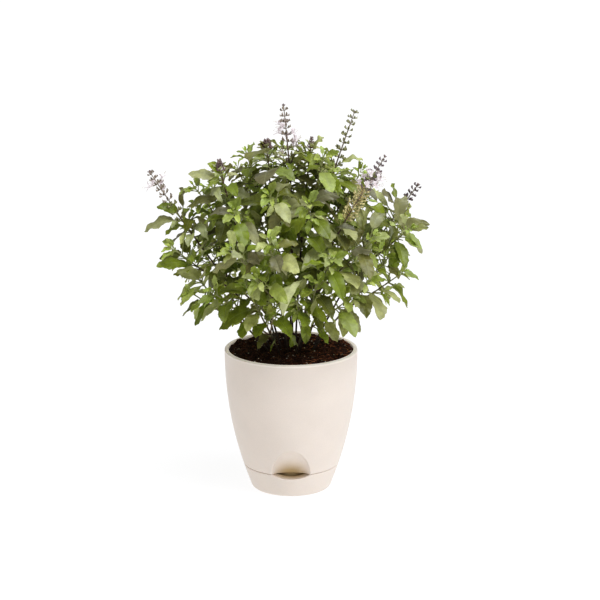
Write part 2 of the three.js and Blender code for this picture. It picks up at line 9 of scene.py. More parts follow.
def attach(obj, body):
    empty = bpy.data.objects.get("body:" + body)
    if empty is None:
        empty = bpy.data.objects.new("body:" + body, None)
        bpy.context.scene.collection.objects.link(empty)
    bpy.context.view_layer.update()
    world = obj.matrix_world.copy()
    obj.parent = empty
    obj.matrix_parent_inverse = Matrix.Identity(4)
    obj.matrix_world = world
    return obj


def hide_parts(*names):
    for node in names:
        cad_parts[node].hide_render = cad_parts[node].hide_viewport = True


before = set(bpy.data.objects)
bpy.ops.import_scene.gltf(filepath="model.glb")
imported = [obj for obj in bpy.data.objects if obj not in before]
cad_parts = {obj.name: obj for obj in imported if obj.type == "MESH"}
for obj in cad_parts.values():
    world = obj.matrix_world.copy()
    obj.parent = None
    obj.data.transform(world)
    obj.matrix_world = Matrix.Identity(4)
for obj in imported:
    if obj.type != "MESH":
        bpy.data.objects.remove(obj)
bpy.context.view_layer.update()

# A holy basil in its pot. The growth rules below are the CAD's. Each leaf of the CAD is found
# again by its tip and given a thin toothed blade. Smaller leaves, calyces, petals, hairs and
# crumbs of soil are added to that, then the materials, the light and the camera.

# ---- Sizes in millimetres, the same as the CAD's ----
MM = 0.001
POT_HEIGHT = 102.0
RIM_RADIUS = 47.3
BASE_RADIUS = 28.0
WALL = 2.0
RIM_WIDTH = 3.0
SEAM_Z = 17.5
FIT_GAP = 0.3
LEDGE_Z = SEAM_Z + FIT_GAP
SAUCER_FLOOR = 2.4
BUCKET_RADIUS = 22.0
BUCKET_FLOOR_Z = 8.0
WICK_RADIUS = 9.0
INLET_HALF_WIDTH, INLET_DEPTH, INLET_RISE, INLET_DIP = 13.8, 10.7, 20.0, 3.2
SOIL_EDGE_Z = 97.0
SOIL_CROWN = 4.5
SOIL_LUMP = 1.1
FOOT_DEPTH = 12.0
MAIN_JOINTS, FORK_JOINTS = 5, 2
MAIN_PAIRS, FORK_PAIRS = 3, 2
STALK_SHARE = 0.25
LEAF_SHAPE = 0.29
LEAF_YOUNG, LEAF_FULL, LEAF_OLD = 15.0, 25.0, 29.0
PAIR_STEP = 10.0
FIRST_PAIR = 0.8  # how far the youngest pair of leaves is from its shoot's end
BLADE_HALF = 0.35
WHORL_FLOWERS = 6
UP = np.array([0.0, 0.0, 1.0])
LIGHT = np.array([0.0, -0.45, 0.75])

# ---- Sizes that only this scene has ----
RIM_ROUND_OUT, RIM_ROUND_IN = 0.9, 0.5  # how far the rim's two edges are rounded
RIM_GLOW = 0.22  # light of the rim's own, which the leaves shade more here than in the photo
INLET_APRON = 1.2  # how far the inlet's lower edge hangs down at its middle
SHELF_END = 24.2  # the radius to which the shelf under the inlet reaches
STAIN_AND_SHADE_TOP = 31.0  # up to where the inside of the pot and saucer is darker and warmer: a stain where water stands, and painted shade with warm bounce light in the inlet's recesses
SOIL_FILL = 3.4  # how far the loose top of the soil stands over the CAD's, at the rim
SOIL_BOTTOM = 82.0  # where that loose top ends below
SUNNY_X = 8.0  # from here to the right the soil catches more light in the photo
CRUMBS, FIBRES, PERLITE_GRAINS, CHIPS = 1500, 900, 110, 16
MAIN_RADII, FORK_RADII = (0.78, 0.48), (0.62, 0.42)  # of a stem, at its foot and its end
KNOTS = (FIRST_PAIR, 10.8, 24.3, 41)  # the pairs' distances from the end, one more than the CAD's
RIM_ROOM, SOIL_ROOM = 4.0, 8.0  # no filling leaf is nearer, beside the rim or over the soil's edge
LEAF_ROOM = 2.6  # between the sample points of a filling leaf and those of the leaves before it
AXIL_ROOM = 1.3  # the same for the small leaves of side shoots
SIGHT_ROOM = 2.8  # what stays free in front of a leaf that is shown
CROWN_NECK, CROWN_RADIUS = 20, 92  # the crown's outline at its underside and where it is widest
CROWN_LOW_Z, CROWN_FULL_Z, CROWN_SHOULDER_Z, CROWN_TOP_Z = 120, 195, 160, 240
FRONT = np.array([0.0, -0.97, 0.244])  # towards the camera

# Each stem: its foot, its end, what flowers on it and to where, and its forks.
STEMS = [
    ((-9, -1), (-76, -5, 196), ("spike", (-98, -5, 230)), [(0.55, (-54, 15, 194)), (0.5, (-80, -18, 177))]),
    ((-8, -5.5), (-69, -14, 161), None, [(0.4, (-56, 38, 168)), (0.45, (-68, -22, 147))]),
    ((-5, -9.5), (-30, -50, 160), None, [(0.35, (-51, -36, 150)), (0.4, (-10, -52, 145))]),
    ((-4, -1), (-47, -10, 225), ("bud", (-50, -10, 242)), [(0.55, (-38, -38, 207)), (0.6, (-65, -2, 216))]),
    ((-3, 3.5), (-16, 5, 238), ("bud", (-17, 5, 254)), [(0.5, (-38, 45, 222)), (0.6, (-30, 14, 236))]),
    ((1, 0), (-1, 10, 232), ("spike", (-5, 10, 274)), [(0.55, (-14, -38, 218)), (0.6, (-6, 36, 237))]),
    ((2.5, 5), (13, 8, 238), ("bud", (15, 8, 255)), [(0.5, (10, 54, 228)), (0.6, (22, -14, 239))]),
    ((5.5, 1), (31, 0, 233), ("spike", (44, 0, 271)), [(0.5, (12, -46, 213)), (0.6, (48, 10, 225))]),
    ((4, -5.5), (37, -38, 202), ("spike", (64, -30, 245)), [(0.45, (27, -62, 180)), (0.5, (54, -46, 190))]),
    ((10, 0), (76, 5, 201), ("spike", (89, 5, 219)), [(0.6, (80, -24, 192)), (0.55, (80, 28, 188))]),
    ((9, -4.5), (70, -10, 173), None, [(0.45, (52, -36, 158)), (0.5, (76, -18, 160))]),
    ((1, -10.5), (18, -58, 163), None, [(0.4, (40, -44, 149)), (0.45, (4, -54, 150))]),
    ((-1, -5.5), (-14, -64, 192), None, [(0.5, (-22, -66, 166)), (0.55, (-38, -56, 184))]),
    ((0, 9.5), (-2, 74, 184), None, [(0.45, (24, 72, 156)), (0.55, (-26, 68, 200))]),
    ((7.5, 5.5), (52, 48, 204), None, [(0.4, (60, 44, 162)), (0.6, (32, 60, 216))]),
    ((-7.5, 6), (-30, 66, 158), None, [(0.5, (-56, 34, 210)), (0.4, (-62, 50, 156))]),
]

# The most conspicuous leaves, which the CAD has too: stem, tip, length and look.
SET_LEAVES = [
    (1, (-102, -8, 188), 25, "grey"),
    (1, (-87, -14, 187), 17, "green"),
    (1, (-93, -24, 167), 31, "green"),
    (1, (-62, -26, 180), 23, "grey"),
    (2, (-78, -26, 165), 28, "green"),
    (2, (-74, -32, 143), 22, "bright"),
    (2, (-68, -38, 138), 22, "green"),
    (3, (-49, -48, 128), 30, "green"),
    (3, (-33, -52, 123), 21, "green"),
    (3, (-30, -56, 129), 23, "pale"),
    (3, (-24, -50, 123), 21, "green"),
    (3, (-21, -72, 155), 26, "pale"),
    (12, (-5, -74, 145), 39, "pale"),
    (13, (-39, -70, 184), 24, "pale"),
    (4, (-72, -12, 206), 27, "olive"),
    (4, (-71, -8, 229), 22, "pale"),
    (13, (6, -80, 176), 32, "pale"),
    (5, (-28, -28, 242), 20, "olive"),
    # painted shade: this leaf takes the dark look
    (2, (-43, -40, 161), 20, "dark"),
    (5, (-18, -36, 227), 19, "purple"),
    (12, (-1, -42, 115), 22, "green"),
    (10, (96, -14, 195), 26, "grey"),
    (10, (90, -30, 181), 19, "bright"),
    (10, (70, -2, 221), 20, "green"),
    (10, (63, -12, 217), 23, "purple"),
    (10, (78, -36, 169), 22, "green"),
    (9, (54, -54, 185), 24, "purple"),
    (11, (61, -44, 134), 33, "pale"),
    (11, (75, -32, 143), 24, "pale"),
    (12, (44, -60, 126), 23, "bright"),
    (12, (39, -62, 144), 17, "bright"),
    (11, (41, -60, 156), 24, "grey"),
    (12, (8, -66, 135), 26, "green"),
    (12, (32, -50, 120), 20, "pale"),
    (9, (45, -60, 160), 28, "pale"),
    (8, (33, -50, 221), 23, "purple"),
]

# Leaves that only this scene has, where the photo shows the most of them.
MORE_LEAVES = [
    (1, (-75, -6, 219), 17, "olive"),
    (1, (-93, -8, 206), 18, "green"),
    (1, (-84, -9, 191), 15, "bright"),
    (1, (-67, -8, 203), 14, "green"),
    (4, (-57, -10, 237), 13, "green"),
    (4, (-40, -12, 236), 13, "olive"),
    (5, (-23, 3, 248), 14, "olive"),
    (5, (-7, 2, 246), 14, "green"),
    (6, (6, 4, 243), 17, "olive"),
    (6, (-12, 4, 238), 16, "pale"),
    (7, (23, 5, 252), 19, "pale"),
    (7, (4, 6, 249), 15, "green"),
    (8, (50, -5, 238), 21, "pale"),
    (8, (47, -6, 226), 19, "bright"),
    (8, (22, -4, 246), 16, "green"),
    (9, (62, -32, 206), 22, "grey"),
    (9, (47, -34, 196), 20, "olive"),
    (10, (63, -6, 204), 19, "grey"),
    (10, (55, 2, 213), 24, "pale"),
    (15, (62, 30, 222), 24, "olive"),
    (14, (-14, 48, 218), 24, "pale"),
    (12, (10, -34, 114), 19, "green"),
    (3, (-14, -32, 108), 16, "green"),
    (3, (-23, -36, 111), 16, "olive"),
    (12, (26, -36, 115), 17, "green"),
    (11, (36, -34, 119), 20, "pale"),
]

# How the CAD turns, droops and shortens a leaf until it is clear of its neighbours.
LEAF_TRIES = [
    (0, 0, 1),
    (30, 0.2, 1),
    (-30, -0.2, 1),
    (55, 0.5, 0.95),
    (-55, -0.3, 0.9),
    (12, 0.9, 0.85),
    (-12, -0.6, 0.8),
    (85, 0.3, 0.75),
    (-85, 0.6, 0.7),
]
SET_DROOPS = (1.1, 0.7, 1.4, 0.4, 1.7)

# ---- Colours as they look in daylight, red, green and blue from 0 to 255 ----
# A leaf's look: its upper face and its underside.
LOOKS = {
    "green": ((110, 121, 35), (149, 153, 98)),
    "bright": ((140, 150, 78), (162, 168, 110)),
    "pale": ((154, 156, 108), (166, 168, 124)),
    "grey": ((129, 129, 88), (152, 152, 114)),
    "olive": ((104, 103, 54), (142, 140, 102)),
    # painted shade: the dark look is the colour of leaves in shade, given to a whole leaf
    "dark": ((85, 89, 25), (130, 131, 84)),
    "purple": ((104, 101, 72), (142, 139, 112)),
    "tip": ((148, 160, 82), (166, 174, 106)),
}
BARK = (54, 36, 26)
GREEN_STEM = (150, 152, 104)
PURPLE_STEM = (100, 80, 62)
CALYX = (156, 142, 126)
CALYX_DARK = (122, 106, 108)
CALYX_GREEN = (156, 154, 112)
SEED_CALYX = (216, 204, 146)
SEED_STALK = (204, 180, 126)
BUD = (136, 112, 110)
LILAC = (255, 248, 249)
ANTHER = (214, 200, 160)
HAIR = (196, 192, 168)
CREAM = (236, 223, 211)
# painted light: a whiter, warmer cream for the rim's top, standing for light that the leaves shade off it
CREAM_RIM_PAINTED_LIGHT = (255, 244, 232)
# a darker, warmer cream: a stain where water stands, and painted shade with warm bounce light in the inlet's
# scoop and under it
CREAM_STAINED_AND_SHADED = (216, 192, 148)
SOIL_DARK = (54, 32, 25)
SOIL_RED = (112, 64, 42)
FIBRE = (150, 106, 72)
PERLITE = (236, 230, 218)


def linear(colour):
    share = np.array(colour, float) / 255
    return np.where(share <= 0.04045, share / 12.92, ((share + 0.055) / 1.055) ** 2.4)


# ---- Small tools ----
def mix(a, b, t):
    return a + (b - a) * t


def vec(xyz):
    return np.array(xyz, float)


def unit(v):
    return v / np.linalg.norm(v, axis=-1, keepdims=True)


def draws(seed):
    """The CAD's own stream of numbers from 0 to 1."""
    state = seed

    def draw():
        nonlocal state
        state = (state * 1664525 + 1013904223) % 4294967296
        return state / 4294967296

    for _ in range(4):
        draw()
    return draw


# ---- How the plant grows: the same rules as the CAD's ----
def soil_top(x, y):
    share = np.minimum(1.0, np.hypot(x, y) / RIM_RADIUS)
    lumps = np.sin(0.31 * x + 1.3) * np.cos(0.27 * y - 0.4)
    lumps = lumps + 0.6 * np.sin(0.53 * x - 0.47 * y)
    return SOIL_EDGE_Z + SOIL_CROWN * (1 - share**2) + SOIL_LUMP * lumps * (1 - share**6)


def bezier(a, b, c, d, t):
    s = 1 - t
    return a * s**3 + 3 * b * s * s * t + 3 * c * s * t * t + d * t**3


class Path:
    """Straight joints between points of a curve."""

    def __init__(self, controls, joints):
        self.points = [bezier(*controls, i / joints) for i in range(joints + 1)]
        self.lengths = [np.linalg.norm(b - a) for a, b in zip(self.points, self.points[1:])]
        self.length = sum(self.lengths)

    def point(self, share):
        left = share * self.length
        last = len(self.lengths) - 1
        for i, length in enumerate(self.lengths):
            if left <= length or i == last:
                return mix(self.points[i], self.points[i + 1], left / length)
            left -= length

    def tangent(self, share):
        low, high = max(0.0, share - 1e-4), min(1.0, share + 1e-4)
        return unit(self.point(high) - self.point(low))


def square_to(along):
    across = unit(np.cross((0, 1, 0), along))
    return across, np.cross(along, across)


def outward(along, turn):
    """The direction square to a line, at a turn round it."""
    across, over = square_to(along)
    return across * math.cos(turn) + over * math.sin(turn)


def leaning(along, turn, lift):
    """The direction that leans off a line by an angle, at a turn round it."""
    return along * math.cos(lift) + outward(along, turn) * math.sin(lift)


def stem_controls(foot, end, top):
    start = vec((*foot, soil_top(*foot) - FOOT_DEPTH))
    finish = vec(end)
    reach = finish - start
    last = unit(vec(top[1]) - finish) if top else unit(mix(unit(reach), UP, 0.15))
    first = reach * vec((0.22, 0.22, 0.36))
    return start, start + first, finish - last * 0.3 * np.linalg.norm(reach), finish


def fork_controls(main, at, end):
    start = main.point(at)
    finish = vec(end)
    reach = finish - start
    length = np.linalg.norm(reach)
    first = unit(mix(main.tangent(at), unit(reach), 0.6))
    last = unit(mix(unit(reach), UP, 0.3))
    return start, start + first * 0.33 * length, finish - last * 0.3 * length, finish


class Leaf:
    """A midrib that droops from a point on a stem, and the blade's frame along it."""

    def __init__(self, origin, along, start, droop, length, light=LIGHT):
        out = unit(start - along * start.dot(along))
        light = light + along * 0.3 - out * 0.3 + unit(origin * vec((1, 1, 0))) * 0.3
        self.origin, self.start, self.droop, self.length = origin, start, droop, length
        self.side = unit(np.cross(start, light))
        self.reach = length / np.linalg.norm(start - UP * droop / 2)
        self.twist = 0.0

    def points(self, share, across, lift):
        """Points at shares of the midrib, across it and off its surface, from arrays."""
        share, across, lift = [a[..., None] for a in np.broadcast_arrays(share, across, lift)]
        along = unit(self.start - UP * self.droop * np.maximum(share, STALK_SHARE))
        normal = unit(np.cross(self.side, along))
        turn = self.twist * np.maximum(0, share - STALK_SHARE)
        side = self.side * np.cos(turn) + normal * np.sin(turn)
        normal = normal * np.cos(turn) - self.side * np.sin(turn)
        middle = self.origin + self.start * self.reach * share
        middle = middle - UP * self.reach * self.droop * share**2 / 2
        return middle + side * across + normal * lift


def turned_leaf(path, share, turn, length, droop, lift, light=LIGHT):
    """A leaf from a share of a shoot, at a turn round it and an angle off it."""
    along = path.tangent(share)
    return Leaf(path.point(share), along, leaning(along, turn, lift), droop, length, light)


def set_leaf(paths, tip, length, droop):
    """A leaf that ends at a set tip, from where its shoots pass at its length from it."""
    best = None
    for path in paths:
        share = 0.25
        while share < 1:
            origin = path.point(share)
            along = path.tangent(share)
            chord = vec(tip) - origin
            size = np.linalg.norm(chord)
            steep = abs(math.acos(chord.dot(along) / size) - math.radians(75))
            miss = abs(size - length) + 4 * steep
            if best is None or miss < best[0]:
                best = (miss, origin, along, chord, size)
            share += 0.01
    _, origin, along, chord, size = best
    fall = droop * chord[2] / size
    stretch = math.sqrt(fall * fall - droop * droop + 4) / 2 - fall / 2
    start = unit(chord * stretch / size + UP * droop / 2)
    return Leaf(origin, along, start, droop, size)


def leaves_along(path, pairs, seed, flowering):
    """What each leaf of a shoot asks for, from the shoot's end back."""
    draw = draws(seed)
    wanted = []
    back = FIRST_PAIR
    for pair in range(pairs):
        if back >= 0.8 * path.length:
            break
        age = min(1.0, pair / 2)
        for side in (0, math.pi):
            turn = math.pi / 4 + pair * math.pi / 2 + side + mix(-0.15, 0.15, draw())
            size = mix(LEAF_FULL, LEAF_OLD, age - 0.5) if pair else LEAF_YOUNG
            length = size * mix(0.88, 1.08, draw())
            droop = mix(0.6, 1.7, age) + mix(-0.3, 0.4, draw())
            lift = math.radians(mix(62 if flowering else 42, 74, age) + mix(-8, 8, draw()))
            wanted.append((path, 1 - back / path.length, turn, length, droop, lift, pair))
        back += PAIR_STEP * (1 + 0.35 * pair)
    return wanted


def stands_in(leaf, points):
    """Whether a CAD node with these points has this leaf's tip."""
    tips = leaf.points(np.ones(2), np.zeros(2), vec((BLADE_HALF, -BLADE_HALF)))
    return all(np.abs(points - tip).max(axis=1).min() < 0.05 for tip in tips)


def node_points(name):
    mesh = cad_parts[name].data
    points = np.empty(len(mesh.vertices) * 3)
    mesh.vertices.foreach_get("co", points)
    return points.reshape(-1, 3) / MM


def grown_leaves(number, paths, flowering):
    """The leaves that the CAD has on a stem: each with its pair, counted from the end, and look."""
    points = node_points(f"leafy_stem_{number:02d}")
    leaves = []
    for stem, tip, length, look in SET_LEAVES:
        if stem == number:
            tries = [set_leaf(paths, tip, length, droop) for droop in SET_DROOPS]
            leaves += [(leaf, 1, look) for leaf in tries if stands_in(leaf, points)][:1]
    wanted = leaves_along(paths[0], MAIN_PAIRS, 1000 + 37 * (number - 1), flowering)
    for k, path in enumerate(paths[1:]):
        wanted += leaves_along(path, FORK_PAIRS, 5000 + 53 * (number - 1) + 7 * k, False)
    for path, share, turn, length, droop, lift, pair in wanted:
        for more_turn, more_droop, shrink in LEAF_TRIES:
            turned = turn + math.radians(more_turn)
            drooped = max(0.1, droop + more_droop)
            leaf = turned_leaf(path, share, turned, length * shrink, drooped, lift)
            if stands_in(leaf, points):
                leaves.append((leaf, pair, None))
                break
    return leaves


# ---- Building meshes ----
def put(name, data):
    """A new object in the scene."""
    thing = bpy.data.objects.new(name, data)
    bpy.context.scene.collection.objects.link(thing)
    return thing


class Build:
    """Collects the solids of one piece. Each point has a tint and a place in its pattern.

    The tint's fourth value is 0 on a leaf's underside, and under 1 on the pot where its rim glows.
    """

    def __init__(self):
        self.points, self.tints, self.places, self.faces = [], [], [], []
        self.count = 0

    def add(self, points, faces, tint, place=(0, 0, 0)):
        points = points.reshape(-1, 3)
        size = len(points)
        tint = np.asarray(tint, float)
        if tint.shape[-1] == 3:
            tint = np.concatenate([tint, np.ones((*tint.shape[:-1], 1))], axis=-1)
        self.points.append(points)
        self.tints.append(np.broadcast_to(tint.reshape(-1, 4), (size, 4)))
        self.places.append(np.broadcast_to(np.asarray(place, float).reshape(-1, 3), (size, 3)))
        self.faces += [tuple(corner + self.count for corner in face) for face in faces]
        self.count += size

    def piece(self, name, material, slot, node):
        """Makes the piece, which stands for a node of the CAD."""
        mesh = bpy.data.meshes.new(name)
        mesh.from_pydata((np.concatenate(self.points) * MM).tolist(), [], self.faces)
        mesh.materials.append(material)
        tint = mesh.attributes.new("tint", "FLOAT_COLOR", "POINT")
        tint.data.foreach_set("color", np.concatenate(self.tints).ravel())
        place = mesh.attributes.new("place", "FLOAT_VECTOR", "POINT")
        place.data.foreach_set("vector", np.concatenate(self.places).ravel())
        mesh.shade_smooth()
        mesh.set_sharp_from_angle(angle=math.radians(50))
        mesh.update()
        piece = put(name, mesh)
        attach(piece, "root")
        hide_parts(node)


def quads(a, b, c, d):
    return np.stack([a.ravel(), b.ravel(), c.ravel(), d.ravel()], axis=1).tolist()


def sheet_faces(rows, columns):
    """Faces of a thin closed sheet: a grid of points, then the same grid for its underside."""
    top = np.arange(rows * columns).reshape(rows, columns)
    low = top + top.size
    rim = np.concatenate([top[0, :-1], top[:-1, -1], top[-1, :0:-1], top[:0:-1, 0]])
    after = np.roll(rim, -1)
    return [
        *quads(top[:-1, :-1], top[:-1, 1:], top[1:, 1:], top[1:, :-1]),
        *quads(low[:-1, :-1], low[1:, :-1], low[1:, 1:], low[:-1, 1:]),
        *quads(rim, rim + top.size, after + top.size, after),
    ]


def ring_faces(rings, sides):
    """Faces of a closed solid made of rings of points, with a flat cap at each end."""
    grid = np.arange(rings * sides).reshape(rings, sides)
    after = np.roll(grid, -1, axis=1)
    faces = quads(grid[:-1], after[:-1], after[1:], grid[1:])
    return [*faces, tuple(grid[0, ::-1].tolist()), tuple(grid[-1].tolist())]


def frames_along(points):
    """Directions along a line of points, and two square to it that don't spin."""
    along = unit(np.gradient(points, axis=0))
    side = square_to(along[0])[0]
    sides = []
    for direction in along:
        side = unit(side - direction * side.dot(direction))
        sides.append(side)
    sides = np.array(sides)
    return along, sides, np.cross(along, sides)


def tube(build, points, radii, sides, tint, squareness=0.0, spin=0.0):
    """A solid round a line of points. Squareness 1 gives it four sides with round edges."""
    points = np.asarray(points, float)
    _, side, over = frames_along(points)
    angle = np.linspace(0, 2 * math.pi, sides, endpoint=False) + spin
    cos, sin = np.cos(angle), np.sin(angle)
    square = (np.abs(cos) ** 3.4 + np.abs(sin) ** 3.4) ** (-1 / 3.4)
    out = np.broadcast_to(np.asarray(radii, float), len(points))[:, None] * mix(1, square, squareness)
    ring = side[:, None] * cos[None, :, None] + over[:, None] * sin[None, :, None]
    grid = points[:, None] + ring * out[..., None]
    tint = np.asarray(tint, float)
    if tint.ndim == 2:
        tint = np.repeat(tint, sides, axis=0)
    build.add(grid, ring_faces(len(points), sides), tint)


# ---- Leaves ----
FINE_COLUMNS = vec((-1, -0.8, -0.52, -0.22, 0, 0.22, 0.52, 0.8, 1))
MIDDLE_COLUMNS = vec((-1, -0.68, -0.28, 0, 0.28, 0.68, 1))
SMALL_COLUMNS = vec((-1, -0.55, 0, 0.55, 1))
TOOTH = vec((-0.055, 0.0, 0.065))  # how far the edge stands out at a notch, a vein and a tooth
QUILT = vec((0.08, -0.12, 0.07))  # the blade is raised between its side veins
VEIN_SWEEP = 0.5  # how much the side veins lean towards the tip


def leaf_look(look, rng, fresh=0.0, lightest=1.95):
    """The colours of a leaf's two faces, with its own slight difference."""
    light = rng.uniform(1.25, lightest)
    warm = rng.uniform(-0.04, 0.03)
    shift = vec((1 + warm, 1, 1 - warm)) * light
    return [mix(linear(a), linear(b), fresh) * shift for a, b in zip(LOOKS[look], LOOKS["tip"])]


def add_leaf(
    build, leaf, faces, rng, teeth, columns, fold, thickness=0.32, breadth=1.0, blush=0.0, twist=0.45
):
    """Adds a leaf to a build: a stalk, and a blade with teeth, side veins and a soft fold."""
    rows = 3 * teeth + 1
    s = np.linspace(0, 1, rows)[:, None]
    size = np.abs(columns)[None, :]
    u = np.minimum(1, s + VEIN_SWEEP * size * s * (1 - s))
    kind = (np.arange(rows) % 3)[:, None]
    widest = LEAF_SHAPE * leaf.length * (1 - STALK_SHARE) * breadth
    outline = np.maximum(1 - np.abs(2 * u**0.88 - 1) ** 2.2, 0) ** mix(0.55, 0.8, u)
    half = widest * np.maximum(outline, 0.06) * (1 + TOOTH[kind] * size**4)
    across = half * columns[None, :]
    bulk = min(1.0, leaf.length / 20)
    phase = rng.uniform(0, 2 * math.pi, 2)
    sway = np.where(columns < 0, phase[0], phase[1])[None, :]
    wave = rng.uniform(0.5, 1.25) * bulk * size**2 * np.sin(2 * math.pi * 2.1 * s + sway)
    lift = np.abs(across) * math.tan(fold) - 0.035 * across**2 / max(1.0, widest / 4)
    lift = lift + (wave + QUILT[kind] * 4 * size * (1 - size) * bulk) * np.sin(math.pi * s) ** 0.5
    lift = lift - 0.12 * bulk * (size == 0)
    deep = thickness * mix(1, 0.6, size) + 0.3 * bulk * (size == 0) * (1 - s)
    leaf.twist = rng.uniform(-twist, twist)
    share = mix(STALK_SHARE, 1, u)
    grids = [leaf.points(share, across, lift), leaf.points(share, across, lift - deep)]
    shade = 1 + 0.08 * np.sin(phase[0] + 5 * s) * (1 - size) + 0.05 * (kind == 2)
    tint = np.zeros((2, rows, len(columns), 4))
    tint[0, ..., :3] = mix(faces[0] * shade[..., None], linear(PURPLE_STEM), blush * size[..., None] ** 3)
    tint[0, ..., 3] = 1
    tint[1, ..., :3] = faces[1]
    place = np.zeros((2, rows, len(columns), 3))
    place[..., 0] = s * teeth
    place[..., 1] = columns
    place[..., 2] = rng.uniform()
    build.add(np.stack(grids), sheet_faces(rows, len(columns)), tint, place)
    share = np.linspace(0, STALK_SHARE + 0.04, 4)
    stalk = leaf.points(share, np.zeros(4), np.full(4, -thickness / 2))
    radius = np.linspace(0.5, 0.36, 4) * mix(0.55, 1, bulk)
    tube(build, stalk, radius, 4, mix(faces[0], linear(GREEN_STEM), 0.6))


def blade_samples(leaf, shares, aside):
    """Points of a blade at shares of its midrib: on it, and to both sides except at the tip."""
    share = np.repeat(shares, 3)
    across = np.tile([-aside, 0.0, aside], len(shares)) * LEAF_SHAPE * leaf.length * (1 - STALK_SHARE)
    return leaf.points(share, across * (share < 1), np.zeros(len(share)))


class Crowd:
    """Where blades are, to keep new ones clear of them and of the view on the finest leaves."""

    def __init__(self):
        self.samples = np.empty((0, 3))
        self.shown = np.empty((0, 3))

    def show(self, leaf):
        """Keeps later leaves from hanging in front of this one."""
        self.shown = np.concatenate([self.shown, blade_samples(leaf, (0.35, 0.55, 0.75, 0.92), 0.7)])

    def hides(self, points):
        apart = points[:, None] - self.shown[None]
        before = apart @ FRONT
        aside = np.linalg.norm(apart - before[..., None] * FRONT, axis=2)
        return ((aside < SIGHT_ROOM) & (before > 0)).any()

    def take(self, leaf, room):
        """Adds the leaf if its sample points have this much room, or if no room is asked for."""
        new = blade_samples(leaf, (0.5, 0.7, 0.87, 1.0), 0.62)
        low = new[:, 2] < SOIL_EDGE_Z + SOIL_ROOM
        if room:
            if (low & (np.hypot(new[:, 0], new[:, 1]) < RIM_RADIUS + RIM_ROOM)).any():
                return False
            if np.linalg.norm(new[:, None] - self.samples[None], axis=2).min() < room or self.hides(new):
                return False
        self.samples = np.concatenate([self.samples, new])
        return True


# How often a leaf has each look: low on the plant, high up, and while it is young.
LOOK_ODDS = {
    "green": (0.46, 0.34, 0.3),
    "bright": (0.16, 0.08, 0.4),
    "pale": (0.16, 0.12, 0.24),
    "grey": (0.06, 0.16, 0.06),
    "olive": (0.04, 0.12, 0),
    # the dark look is painted shade
    "dark": (0.12, 0.1, 0),
    "purple": (0, 0.08, 0),
}


def pick_look(rng, height, young):
    """A look for a leaf: greyer and more purple high up, greener low down."""
    low, high, fresh = (vec(odds) for odds in zip(*LOOK_ODDS.values()))
    odds = fresh if young else mix(low, high, min(1.0, max(0.0, (height - 140) / 80)))
    return list(LOOK_ODDS)[rng.choice(len(odds), p=odds / odds.sum())]


# ---- Stems and sprouts ----
def random_angle(rng, low, high):
    """A random angle in radians, between two that are in degrees."""
    return math.radians(rng.uniform(low, high))


def line_of(path):
    """A shoot's middle line with its joints softened."""
    steps = max(8, int(path.length / 2))
    line = np.array([path.point(i / steps) for i in range(steps + 1)])
    for _ in range(3):
        line[1:-1] = (line[:-2] + 2 * line[1:-1] + line[2:]) / 4
    return line


def add_hairs(build, line, radii, count, rng, shortest=0.35, longest=0.8):
    """Short pale hairs that stand out all round a line."""
    along, side, over = frames_along(line)
    for _ in range(count):
        spot = rng.uniform(0, len(line) - 1.001)
        low = int(spot)
        angle = rng.uniform(0, 2 * math.pi)
        out = side[low] * math.cos(angle) + over[low] * math.sin(angle)
        root = mix(line[low], line[low + 1], spot - low) + out * radii[low] * 0.85
        tip = root + unit(out + along[low] * rng.uniform(-0.3, 0.5)) * rng.uniform(shortest, longest)
        aside = np.cross(out, along[low])
        base = [root + (along[low] * a + aside * b) * 0.04 for a, b in ((1, 0), (-0.5, 0.87), (-0.5, -0.87))]
        build.add(np.array([*base, tip]), [(0, 2, 1), (0, 1, 3), (1, 2, 3), (2, 0, 3)], linear(HAIR))


def add_stem(build, path, radii, tints, knots, rng):
    line = line_of(path)
    share = np.linspace(0, 1, len(line))
    radius = mix(radii[0], radii[1], share**0.8)
    for knot in knots:
        radius = radius * (1 + 0.35 * np.exp(-(((share - knot) * path.length / 1.6) ** 2)))
    tint = mix(linear(tints[0]), linear(tints[1]), (share**2)[:, None])
    tube(build, line, radius, 12, tint, squareness=0.8, spin=0.4)
    upper = len(line) // 3
    add_hairs(build, line[upper:], radius[upper:], int(path.length * 0.6), rng)


def sprout(at, along, pairs, size, rng):
    """Small opposite leaves round a tiny shoot, the oldest first, each with how fresh it is."""
    first_turn = rng.uniform(0, math.pi)
    found = []
    for pair in range(pairs):
        age = pair / max(1, pairs - 1)
        for side in (0, math.pi):
            turn = first_turn + pair * math.pi / 2 + side + rng.uniform(-0.2, 0.2)
            lift = math.radians(mix(58, 16, age) + rng.uniform(-8, 8))
            length = size * mix(1.0, 0.42, age) * rng.uniform(0.85, 1.1)
            start, root = leaning(along, turn, lift), at + along * pair * size * 0.16
            leaf = Leaf(root, along, start, mix(0.9, 0.3, age), length)
            found.append((leaf, mix(0.2, 0.9, age)))
    return found


def add_small_leaves(build, leaves, rng, room):
    for leaf, fresh in leaves:
        if crowd.take(leaf, room):
            faces = leaf_look(rng.choice(["bright", "pale", "green"]), rng, fresh)
            fold = random_angle(rng, 12, 26)
            add_leaf(build, leaf, faces, rng, 3, SMALL_COLUMNS, fold, thickness=0.28, breadth=0.82)


def stays_inside(leaf):
    """Whether a leaf's tip is within the crown, so that the crown's ragged outline stays as it is."""
    x, y, z = leaf.points(vec([1]), vec([0]), vec([0]))[0]
    out = math.hypot(x, y)
    widening = (z - CROWN_LOW_Z) / (CROWN_FULL_Z - CROWN_LOW_Z)
    rise = max(0, z - CROWN_SHOULDER_Z) / (CROWN_TOP_Z - CROWN_SHOULDER_Z)
    return out < mix(CROWN_NECK, CROWN_RADIUS, widening) and (out / CROWN_RADIUS) ** 2 + rise**2 < 1


